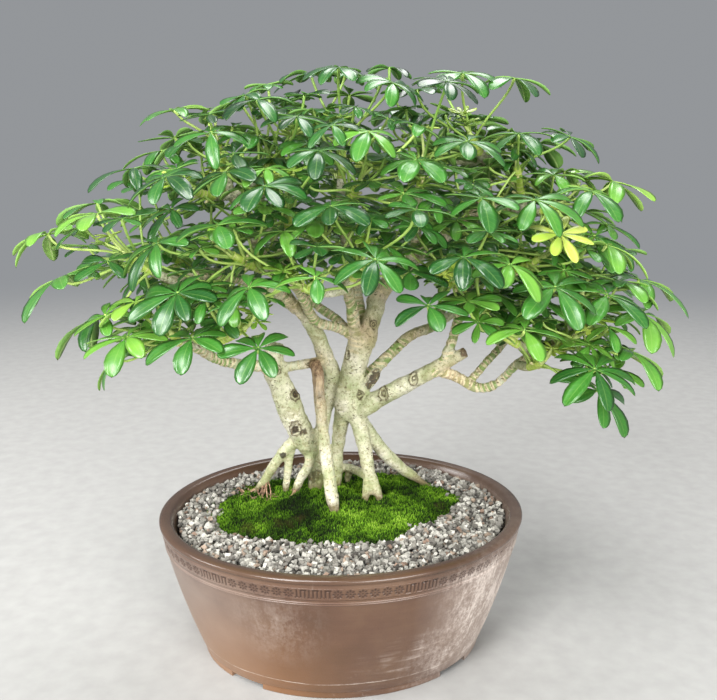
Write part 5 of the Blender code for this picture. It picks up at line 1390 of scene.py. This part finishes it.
def coarse_twig(number):
    """A shoot's twig as the plain model bends it."""
    return twig_curve(shoot_starts[number], tree_point(*SHOOTS[number][0]), STEM_SPANS)


def hides_stem(place):
    """Whether a leaf here would stand between the camera and a stem that stays in view."""
    for middle in stems_in_view:
        ahead = (camera.location - middle).normalized()
        along = (place - middle).dot(ahead)
        if along > 0 and (place - middle - ahead * along).length < VIEW_RADIUS:
            return True
    return False


def stem_way(number):
    """The way the plain model's stem points at its tip."""
    curve = coarse_twig(number)
    return (curve[-1].xyz - curve[-2].xyz).normalized()


stems_in_view = [coarse_twig(number)[-2].xyz for number in STEMS_IN_VIEW]
hubs = [pose[0] for poses in main_poses for pose in poses]
extra_poses = [[] for _ in SHOOTS]
chance = random.Random(5)
for round_number in range(EXTRA_LEAVES):
    for number, shoot in enumerate(SHOOTS):
        tip = tree_point(*shoot[0])
        way = stem_way(number)
        best = None
        best_distance = LEAST_DISTANCE
        for _ in range(EXTRA_TRIES):
            spread = (chance_way(chance) - way * 0.2 + UP * 0.25).normalized()
            candidate = tip + way * chance.uniform(-20, 10) * MM + spread * chance.uniform(*PETIOLE_REACH)
            if not in_crown(candidate) or hides_stem(candidate):
                continue
            distance = min((candidate - hub).length for hub in hubs)
            if distance > best_distance:
                best, best_distance = candidate, distance
        if best:
            hubs.append(best)
            order = EXTRA_ORDER + 100 * number + round_number
            hub, facing, forward, length, leaflets, droop = leaf_pose(tip, best, order, 0)
            facing = (facing + UP * chance.uniform(-EXTRA_UPRIGHT / 2, EXTRA_UPRIGHT)).normalized()
            forward = square_to(forward, facing)
            length *= chance.uniform(*EXTRA_SIZE)
            droop *= chance.uniform(*EXTRA_DROOP)
            extra_poses[number].append((hub, facing, forward, length, leaflets, droop))
print("leaves between:", sum(len(poses) for poses in extra_poses))

# %% [markdown]
# ### One leaf
#
# Each leaflet is a thin closed blade: a short stalk, then an oval that is widest past its middle, folded a
# little along its rib, arched down and slightly rolled. A flat card with a picture of a leaf on it would be
# lighter, but it would show its edge from the side and could not catch the light along the fold. Five
# points across its upper face and one under its rib are enough for that. Two values on each point, along
# and across, place the veins.

# %% Shape one leaflet
LEAF_SPREAD = math.radians(318)
OUTER_LEAFLET_LOSS = 0.26
LEAFLET_WIDTH_SHARE = (0.395, 0.30)
LIE_FLATTER = 0.45
LEAFLET_STATIONS = np.array((0.0, 0.09, 0.21, 0.37, 0.54, 0.71, 0.86, 0.95, 1.0))
LEAFLET_ACROSS = np.array((-1.0, -0.5, 0.0, 0.5, 1.0))
LEAFLET_RING = len(LEAFLET_ACROSS) + 1
UPPER, UNDER, PETIOLE, STEM = range(4)
STALK_SHARE = 0.09
STALK_HALF = 0.55 * MM
BLADE_RISE = 0.10
BLADE_CURL = 0.12
BLADE_FOLD = 0.30
MARGIN_CURL = 0.16
RIB_DEPTH = (1.0 * MM, 0.35 * MM)
BLADE_BASE_POWER = 0.9
BLADE_TIP_POWER = 0.6
widest_at = BLADE_BASE_POWER / (BLADE_BASE_POWER + BLADE_TIP_POWER)
WIDEST = widest_at ** BLADE_BASE_POWER * (1 - widest_at) ** BLADE_TIP_POWER


def leaflet_template():
    """Faces of a leaflet and the finish of each."""
    rings = len(LEAFLET_STATIONS) - 1
    faces = ring_faces(rings, LEAFLET_RING)
    slots = [UPPER if face[0] % LEAFLET_RING < LEAFLET_RING - 2 else UNDER for face in faces]
    tip = rings * LEAFLET_RING
    for side in range(LEAFLET_RING):
        faces.append((tip - LEAFLET_RING + side, tip - LEAFLET_RING + (side + 1) % LEAFLET_RING, tip))
        slots.append(UPPER if side < LEAFLET_RING - 2 else UNDER)
    faces.append(tuple(range(LEAFLET_RING))[::-1])
    slots.append(UNDER)
    return [tuple(face) for face in faces], slots


def leaflet_points(hub, way, beside, facing, length, width, droop, fold, roll):
    """Points of one leaflet, and their places along and across it."""
    along = LEAFLET_STATIONS[:, None]
    blade = np.clip((along - STALK_SHARE) / (1 - STALK_SHARE), 0, 1)
    half = width / 2 * blade ** BLADE_BASE_POWER * (1 - blade) ** BLADE_TIP_POWER / WIDEST
    half = np.maximum(half, STALK_HALF)
    out = length * along * (1 - BLADE_CURL * along ** 2)
    rise = length * (BLADE_RISE * along - droop * along ** 2)
    slope = np.arctan2(BLADE_RISE - 2 * droop * along, 1 - 3 * BLADE_CURL * along ** 2)
    across = LEAFLET_ACROSS[None, :] * half
    lift = fold * np.abs(across) - MARGIN_CURL * LEAFLET_ACROSS[None, :] ** 2 * half * (along > 0.2)
    depth = RIB_DEPTH[0] + (RIB_DEPTH[1] - RIB_DEPTH[0]) * along
    across = np.concatenate([across, 0 * along], 1)
    lift = np.concatenate([lift, -depth], 1)
    turned = roll * along
    side = across * np.cos(turned) - lift * np.sin(turned)
    high = across * np.sin(turned) + lift * np.cos(turned)
    x = out - high * np.sin(slope)
    z = rise + high * np.cos(slope)
    points = hub + x[..., None] * way + side[..., None] * beside + z[..., None] * facing
    tip = hub + out[-1] * way + rise[-1] * facing
    points = np.concatenate([points[:-1].reshape(-1, 3), tip[None].reshape(1, 3)])
    places = np.zeros((len(points), 3))
    places[:-1, 0] = np.repeat(LEAFLET_STATIONS[:-1], LEAFLET_RING)
    places[:-1, 1] = np.tile(np.append(LEAFLET_ACROSS, 0.0), len(LEAFLET_STATIONS) - 1)
    places[-1, 0] = 1.0
    return points, places


leaflet_faces, leaflet_slots = leaflet_template()
print("one leaflet:", sum(len(face) - 2 for face in leaflet_faces), "triangles")

# %% Shape one leaf on its petiole
PETIOLE_RADIUS = 1.0 * MM
PETIOLE_SPACING = 4.0 * MM
FIRST_PETIOLE = 0.6
PETIOLE_BEND = 0.3
PETIOLE_STEPS = 9
PETIOLE_SIDES = 5


def petiole_route(start, leave_way, pose):
    """The curve from the stem to the hub, a little thicker at both ends."""
    hub, facing = pose[0], pose[1]
    reach = hub - start
    leave = start + (leave_way + 2 * reach.normalized()) * reach.length * PETIOLE_BEND / 2
    arrive = hub - facing * reach.length * PETIOLE_BEND
    route = []
    for step in range(PETIOLE_STEPS + 1):
        t = step / PETIOLE_STEPS
        point = start * (1 - t) ** 3 + leave * 3 * t * (1 - t) ** 2
        point += arrive * 3 * t * t * (1 - t) + hub * t ** 3
        swelling = 0.5 * math.exp(-(t / 0.1) ** 2) + 0.35 * math.exp(-((1 - t) / 0.08) ** 2)
        route.append(station(point, PETIOLE_RADIUS * (1 + swelling)))
    return route


def leaf_parts(pose, start, leave_way, order, age):
    """Every part of a leaf as (points, faces, slots, places, age)."""
    hub, facing, forward, length, count, droop = pose
    look = random.Random(order + 77)
    count += look.choice((0, 1, 1))
    facing = (facing + UP * LIE_FLATTER).normalized()
    forward = square_to(forward, facing)
    to_end = min(1.0, abs(hub.x) / CROWN_HALF_LENGTH)
    width_share = LEAFLET_WIDTH_SHARE[0] + (LEAFLET_WIDTH_SHARE[1] - LEAFLET_WIDTH_SHARE[0]) * to_end
    side = facing.cross(forward)
    parts = []
    for index in range(count):
        turn = LEAF_SPREAD * (index / (count - 1) - 0.5) + look.uniform(-0.07, 0.07)
        way = forward * math.cos(turn) + side * math.sin(turn)
        outer_loss = OUTER_LEAFLET_LOSS * (abs(turn) / math.pi) ** 1.5
        own_length = length * (1 - outer_loss) * look.uniform(0.85, 1.08)
        own_facing = (facing + way * look.uniform(-0.12, 0.2)).normalized()
        way = square_to(way, own_facing)
        width = own_length * width_share * look.uniform(0.85, 1.1) * (1 - 0.25 * max(0.0, age - 0.5))
        own_droop = droop * look.uniform(0.5, 1.15)
        fold = BLADE_FOLD * look.uniform(0.6, 1.6) + 0.5 * max(0.0, age - 0.6)
        beside = own_facing.cross(way)
        points, places = leaflet_points(np.array(hub), np.array(way), np.array(beside), np.array(own_facing),
                                        own_length, width, own_droop, fold, look.uniform(-0.5, 0.5))
        parts.append((points, leaflet_faces, leaflet_slots, places, age))
    points, faces = tube(petiole_route(start, leave_way, pose), PETIOLE_SIDES)
    parts.append((points, faces, [PETIOLE] * len(faces), np.zeros((len(points), 3)), age))
    return parts


print("petioles:", PETIOLE_SIDES, "sides")

# %% [markdown]
# ### Stems, stubs and buds
#
# The green stem thickens in rings, one for each fallen leaf. Short stubs of broken petioles stay on it, and
# at its tip a sheath holds one or two young leaves that are still small, folded and yellow-green.

# %% Shape stems and buds
RING_SPACING = 3.6 * MM
RING_HEIGHT = 0.14
RING_WIDTH = 0.8 * MM
STEM_STEP = 0.75 * MM
STEM_SIDES = 12
STEM_SWELL = 1.15
STUB_LENGTH = (3 * MM, 6 * MM)
STUB_RADIUS = 1.2 * MM
STUBS = 3
BUD_LENGTH = 9 * MM
YOUNG_LENGTH = (11 * MM, 19 * MM)
YOUNG_LEAVES = (1, 2, 2, 3)


def ringed(route, seed):
    """The route with its radius raised in rings, and how strongly each point is on a ring."""
    look = random.Random(seed)
    ring_at = 0.4 * RING_SPACING
    travelled = 0.0
    places = []
    shaped = [route[0].copy()]
    marks = [0.0]
    for before, point in zip(route, route[1:]):
        travelled += (point - before).xyz.length
        if travelled > ring_at + RING_SPACING / 2:
            ring_at += RING_SPACING * look.uniform(0.8, 1.2)
        mark = math.exp(-((travelled - ring_at) / (RING_WIDTH / 2)) ** 2)
        shaped.append(point.copy())
        shaped[-1].w *= STEM_SWELL * (1 + RING_HEIGHT * mark)
        marks.append(mark)
    return shaped, marks


def fine_twig(number):
    """A shoot's tip, its whole twig in fine steps, and the step where wood ends and green begins."""
    tip = tree_point(*SHOOTS[number][0])
    start = shoot_starts[number]
    steps = max(16, round((tip - start.xyz).length / STEM_STEP / 2) * 2)
    return tip, twig_curve(start, tip, steps), round(steps * WOODY_SHARE)


def stem_parts(number):
    """The green half of a twig with its stubs and its bud, and the curve that its leaves grow from."""
    look = random.Random(900 + number)
    tip, curve, wood_end = fine_twig(number)
    green = curve[wood_end:]
    way = stem_way(number)
    shaped, marks = ringed(green, number)
    points, faces = tube(shaped, STEM_SIDES)
    places = np.zeros((len(points), 3))
    places[:, 0] = np.repeat(marks, STEM_SIDES)
    parts = [(points, faces, [STEM] * len(faces), places, 0.0)]
    for _ in range(STUBS):
        base = look.choice(green[: len(green) * 3 // 4])
        out = square_to(chance_way(look), way) * base.w
        end = base.xyz + out + (out.normalized() + way * 0.8).normalized() * look.uniform(*STUB_LENGTH)
        route = [station(base.xyz + out * 0.6, STUB_RADIUS * 1.2),
                 station(0.5 * (base.xyz + out + end), STUB_RADIUS), station(end, STUB_RADIUS * 0.8)]
        points, faces = tube(route, PETIOLE_SIDES + 1)
        places = np.zeros((len(points), 3))
        places[:, 0] = np.repeat((0.2, 0.6, 1.0), PETIOLE_SIDES + 1)
        parts.append((points, faces, [STEM] * len(faces), places, 0.0))
    bud_tip = tip + way * BUD_LENGTH
    route = [station(tip + (bud_tip - tip) * t, STEM_TIP_RADIUS * (1.0 - 0.75 * t))
             for t in (0.0, 0.25, 0.6, 1.0)]
    points, faces = tube(route, 8)
    parts.append((points, faces, [PETIOLE] * len(faces), np.zeros((len(points), 3)), 0.8))
    for young in range(look.choice(YOUNG_LEAVES)):
        lean = (way + UP * 0.4 + chance_way(look) * 0.55).normalized()
        place = bud_tip + lean * look.uniform(4, 16) * MM
        _, facing, forward, _, leaflets, _ = leaf_pose(tip, place, 5000 + 10 * number + young, 0)
        length = look.uniform(*YOUNG_LENGTH)
        pose = (place, facing, forward, length, leaflets, look.uniform(-0.25, 0.2))
        order = 7000 + 10 * number + young
        parts += leaf_parts(pose, bud_tip - way * 3 * MM, way, order, look.uniform(0.45, 0.75))
    return parts, green


def woody_twig(number):
    """The wooden half of a twig, from inside its limb to the start of its green half."""
    _, curve, wood_end = fine_twig(number)
    return tube(ringed(curve[:wood_end + 1], 300 + number)[0], STEM_SIDES)


print("stems of", STEM_SIDES, "sides")

# %% [markdown]
# ### The green finishes
#
# The upper face of a grown leaflet is dark green under a clear waxy skin, so it is glossy: a roughness of
# about 0.3 with a thin clear coat on it, and IOR 1.45, the value of plant wax. Its rib and margin are
# paler, and faint side veins leave the rib at a slant. The under side is dull and yellow-green. Age runs
# from 0, grown, to 1, new or fading, and moves the colour from deep green through fresh green to yellow.
# Petioles are fresh green, stems paler with cream ring scars.

# %% Finish: upper face of a leaflet
leaf_upper, shader, spot = new_finish("waxy upper face of a leaflet")
island = add(leaf_upper, "NewGeometry", output=8)
age = add(leaf_upper, "Attribute", output=2, attribute_name="age")
on_leaflet = add(leaf_upper, "Attribute", output=1, attribute_name="leaflet")
apart = add(leaf_upper, "SeparateXYZ", {0: on_leaflet}).node
along, across = apart.outputs[0], apart.outputs[1]
off_rib = add(leaf_upper, "Math", {0: across}, operation="ABSOLUTE")
mottle = add(leaf_upper, "TexNoise", {"Vector": spot, "Scale": 90.0})
shade = add(leaf_upper, "Math", {0: island, 1: 0.20, 2: age}, operation="MULTIPLY_ADD")
shade = add(leaf_upper, "Math", {0: mottle, 1: 0.16, 2: shade}, operation="MULTIPLY_ADD")
LEAF_TONES = ((0.06, "0d2e12"), (0.22, "1d4f1d"), (0.40, "3a7526"), (0.58, "669a36"), (0.78, "97b540"),
              (1.0, "b8bf5a"))
SIDE_VEINS = 9
tones = add(leaf_upper, "ValToRGB", {0: shade}, stops=LEAF_TONES)
slant = add(leaf_upper, "Math", {0: off_rib, 1: -0.16, 2: along}, operation="MULTIPLY_ADD")
veins = add(leaf_upper, "Math", {0: slant, 1: math.tau * SIDE_VEINS}, operation="MULTIPLY")
veins = add(leaf_upper, "Math", {0: veins}, operation="SINE")
vein_share = add(leaf_upper, "MapRange", {0: veins, 1: 0.85, 2: 1.0, 4: 0.08})
rib_share = add(leaf_upper, "MapRange", {0: off_rib, 1: 0.015, 2: 0.06, 3: 0.22, 4: 0.0})
margin_share = add(leaf_upper, "MapRange", {0: off_rib, 1: 0.94, 2: 0.99, 4: 0.30})
pale = add(leaf_upper, "Math", {0: rib_share, 1: vein_share}, operation="MAXIMUM")
pale = add(leaf_upper, "Math", {0: pale, 1: margin_share}, operation="MAXIMUM")
tones = add(leaf_upper, "Mix", {0: pale, 6: tones, 7: linear("9dc069")}, 2, data_type="RGBA")
relief = add(leaf_upper, "Math", {0: vein_share, 1: -1.0, 2: mottle}, operation="MULTIPLY_ADD")
relief = add(leaf_upper, "Bump", {"Height": relief, "Strength": 0.12, "Distance": 0.4 * MM})
gloss = add(leaf_upper, "MapRange", {0: mottle, 1: 0.3, 2: 0.7, 3: 0.27, 4: 0.38})
connect(leaf_upper, shader, {"Base Color": tones, "Roughness": gloss, "Normal": relief, "IOR": 1.45,
                             "Coat Weight": 0.5, "Coat Roughness": 0.2})
print("leaf tones:", len(LEAF_TONES))

# %% Finish: under side of a leaflet
leaf_under, shader, spot = new_finish("dull under side of a leaflet")
age = add(leaf_under, "Attribute", output=2, attribute_name="age")
on_leaflet = add(leaf_under, "Attribute", output=1, attribute_name="leaflet")
off_rib = add(leaf_under, "SeparateXYZ", {0: on_leaflet}, 1)
off_rib = add(leaf_under, "Math", {0: off_rib}, operation="ABSOLUTE")
mottle = add(leaf_under, "TexNoise", {"Vector": spot, "Scale": 160.0, "Detail": 4.0})
shade = add(leaf_under, "Math", {0: mottle, 1: 0.3, 2: age}, operation="MULTIPLY_ADD")
tones = add(leaf_under, "ValToRGB", {0: shade}, stops=((0.1, "4d7a35"), (0.5, "7fa84a"), (1.0, "c3d76c")))
rib_share = add(leaf_under, "MapRange", {0: off_rib, 1: 0.04, 2: 0.16, 3: 0.7, 4: 0.0})
tones = add(leaf_under, "Mix", {0: rib_share, 6: tones, 7: linear("b9cf86")}, 2, data_type="RGBA")
relief = add(leaf_under, "Bump", {"Height": mottle, "Strength": 0.12, "Distance": 0.3 * MM})
connect(leaf_under, shader, {"Base Color": tones, "Roughness": 0.6, "Normal": relief, "IOR": 1.45})
print("under side:", len(leaf_under.node_tree.nodes), "nodes")

# %% Finishes: petioles and green stems
petiole_skin, shader, spot = new_finish("smooth green petiole")
age = add(petiole_skin, "Attribute", output=2, attribute_name="age")
mottle = add(petiole_skin, "TexNoise", {"Vector": spot, "Scale": 90.0, "Detail": 4.0})
shade = add(petiole_skin, "Math", {0: mottle, 1: 0.4, 2: age}, operation="MULTIPLY_ADD")
tones = add(petiole_skin, "ValToRGB", {0: shade}, stops=((0.1, "86ad50"), (0.45, "b2cd6a"), (0.95, "dae892")))
relief = add(petiole_skin, "Bump", {"Height": mottle, "Strength": 0.2, "Distance": 0.2 * MM})
connect(petiole_skin, shader, {"Base Color": tones, "Roughness": 0.42, "Normal": relief, "IOR": 1.45})
stem_skin, shader, spot = new_finish("green stem with ring scars")
on_stem = add(stem_skin, "Attribute", output=1, attribute_name="leaflet")
ring_mark = add(stem_skin, "SeparateXYZ", {0: on_stem})
patches = add(stem_skin, "TexNoise", {"Vector": spot, "Scale": 150.0, "Detail": 6.0, "Roughness": 0.65})
tones = add(stem_skin, "ValToRGB", {0: patches}, stops=((0.30, "86a838"), (0.50, "b4cf52"), (0.70, "d6e284")))
ring_share = add(stem_skin, "MapRange", {0: ring_mark, 1: 0.25, 2: 0.8, 4: 0.8})
tones = add(stem_skin, "Mix", {0: ring_share, 6: tones, 7: linear("d9cb9c")}, 2, data_type="RGBA")
relief = add(stem_skin, "Bump", {"Height": patches, "Strength": 0.4, "Distance": 0.4 * MM})
connect(stem_skin, shader, {"Base Color": tones, "Roughness": 0.6, "Normal": relief, "IOR": 1.45})
print("petiole and stem finishes made")

# %% Build every shoot
YELLOW_LEAF = 170
YELLOW_FACING = (0.05, -0.80, 0.60)
YELLOW_DROOP = 0.10
YELLOW_SIZE = 0.85
YELLOW_LEAFLETS = 7
YELLOW_AGE = 0.68
YOUNG_SHARE = 0.11
FRESHER_TO_END = 0.08
# The crown's top is painted darker: painted shade.
PAINTED_SHADE_ABOVE = 0.14
CROWN_MIDDLE_HEIGHT = 33 * CM


def leaf_age(look, hub):
    """Most leaves are grown and a few fresh; the ends of the crown are fresher, and its top is painted
    darker: painted shade.
    """
    to_end = min(1.0, abs(hub.x) / CROWN_HALF_LENGTH)
    fresh = look.random() < YOUNG_SHARE and (to_end > 0.5 or hub.z > CROWN_MIDDLE_HEIGHT)
    age = look.uniform(0.28, 0.42) if fresh else look.uniform(0.02, 0.28)
    age += FRESHER_TO_END * to_end
    return age - PAINTED_SHADE_ABOVE * max(0.0, hub.z - CROWN_MIDDLE_HEIGHT) / (13 * CM)


def joined(name, parts, finishes, replaced=()):
    """One piece from many parts of (points, faces, slots, places, age)."""
    points, faces = gather([part[:2] for part in parts])
    slots = [slot_index for part in parts for slot_index in part[2]]
    places = np.concatenate([part[3] for part in parts])
    ages = np.concatenate([np.full(len(part[0]), part[4]) for part in parts])
    return piece(name, points, faces, finishes, replaced, slots, {"leaflet": places, "age": ages})


leaf_total = 0
for number, name in enumerate(shoot_names):
    parts, green = stem_parts(number)
    tip = green[-1].xyz
    way = stem_way(number)
    look = random.Random(40 + number)
    for index, pose in enumerate(main_poses[number]):
        order = 10 * number + index
        age = leaf_age(look, pose[0])
        if order == YELLOW_LEAF:
            age = YELLOW_AGE
            facing = tree_point(*YELLOW_FACING).normalized()
            forward = square_to(pose[2], facing)
            pose = (pose[0], facing, forward, pose[3] * YELLOW_SIZE, YELLOW_LEAFLETS, YELLOW_DROOP)
        start = tip - way * PETIOLE_SPACING * (FIRST_PETIOLE + index)
        parts += leaf_parts(pose, start, way, order, age)
    for index, pose in enumerate(extra_poses[number]):
        down = min(len(green) - 2, round((2.5 + index * 2.4) * MM / STEM_STEP))
        age = leaf_age(look, pose[0])
        parts += leaf_parts(pose, green[-1 - down].xyz, way, EXTRA_ORDER + 100 * number + index, age)
    leaf_total += len(main_poses[number]) + len(extra_poses[number])
    finishes = [leaf_upper, leaf_under, petiole_skin, stem_skin]
    joined("leaves_" + name, parts, finishes, [name])
print("leaves:", leaf_total)

# %% Build the woody twigs
points, faces = gather([woody_twig(number) for number in range(len(SHOOTS))])
piece("woody_twigs", points, faces, [bark])

# %% [markdown]
# ## Floor, light and room
#
# The tree stands on a plain pale floor, which fades into the pale grey room within three metres, as a
# photographer's paper sweep does. Two large soft lights stand in front and on the left, like windows, so
# they reach the trunks under the crown. A broad one fills from the right. Two overhead, before and behind,
# put a sheen on the leaves.

# %% Floor
FLOOR_HALF = 40.0
SWEEP_START = 0.7
SWEEP_END = 2.4
ROOM_COLOUR = "dfe3e8"
ROOM_STRENGTH = 0.40
floor_finish, shader, spot = new_finish("plain pale floor")
tooth = add(floor_finish, "TexNoise", {"Vector": spot, "Scale": 60.0, "Detail": 3.0})
tones = add(floor_finish, "ValToRGB", {0: tooth}, stops=((0.3, "9b9a97"), (0.7, "a3a29f")))
connect(floor_finish, shader, {"Base Color": tones, "Roughness": 0.9})
away = add(floor_finish, "VectorMath", {0: spot}, 1, operation="LENGTH")
away = add(floor_finish, "MapRange", {0: away, 1: SWEEP_START, 2: SWEEP_END}, interpolation_type="SMOOTHSTEP")
far = add(floor_finish, "Emission", {"Color": linear(ROOM_COLOUR), "Strength": ROOM_STRENGTH})
sweep = add(floor_finish, "MixShader", {0: away, 1: shader.outputs[0], 2: far})
connect(floor_finish, floor_finish.node_tree.nodes["Material Output"], {"Surface": sweep})
corners = [(x * FLOOR_HALF, y * FLOOR_HALF, 0) for x, y in ((-1, -1), (1, -1), (1, 1), (-1, 1))]
mesh = bpy.data.meshes.new("floor")
mesh.from_pydata(corners, [], [(0, 1, 2, 3)])
mesh.materials.append(floor_finish)
floor = into_scene("floor", mesh)
floor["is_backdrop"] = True
print("floor:", 2 * FLOOR_HALF, "m square")

# %% Lights and room
CROWN_CENTRE = (0.0, 0.0, 30.0)
LIGHTS = (
    ("window light", (-130, -225, 170), 130, 104),
    ("side window light", (-250, -40, 150), 110, 42),
    ("fill light", (130, -250, 90), 190, 92),
    ("top light", (40, 130, 260), 180, 48),
    ("ceiling light", (-50, -130, 250), 110, 46),
)
for name, place, size, power in LIGHTS:
    lamp = bpy.data.lights.new(name, "AREA")
    lamp.shape = "DISK"
    lamp.size = size * CM
    lamp.energy = power
    holder = into_scene(name, lamp)
    holder.location = tree_point(*place)
    aim = tree_point(*CROWN_CENTRE) - holder.location
    holder.rotation_euler = aim.to_track_quat("-Z", "Y").to_euler()
room = bpy.data.worlds.new("room")
bpy.context.scene.world = room
room.use_nodes = True
air = room.node_tree.nodes["Background"]
air.inputs["Color"].default_value = linear(ROOM_COLOUR)
air.inputs["Strength"].default_value = ROOM_STRENGTH
bpy.context.scene.view_settings.view_transform = "Standard"
print("lights:", len(LIGHTS))

# %% [markdown]
# ## Measure and finish
#
# The dressed model has to keep the plain one's size, so both boxes are gathered and the dressed size is
# printed.

# %% Gather the sizes
low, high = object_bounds()
sizes = {"cad": [list(cad_low), list(cad_high)], "visual": [list(low), list(high)]}
print("dressed model:", [round(side, 3) for side in high - low], "m")
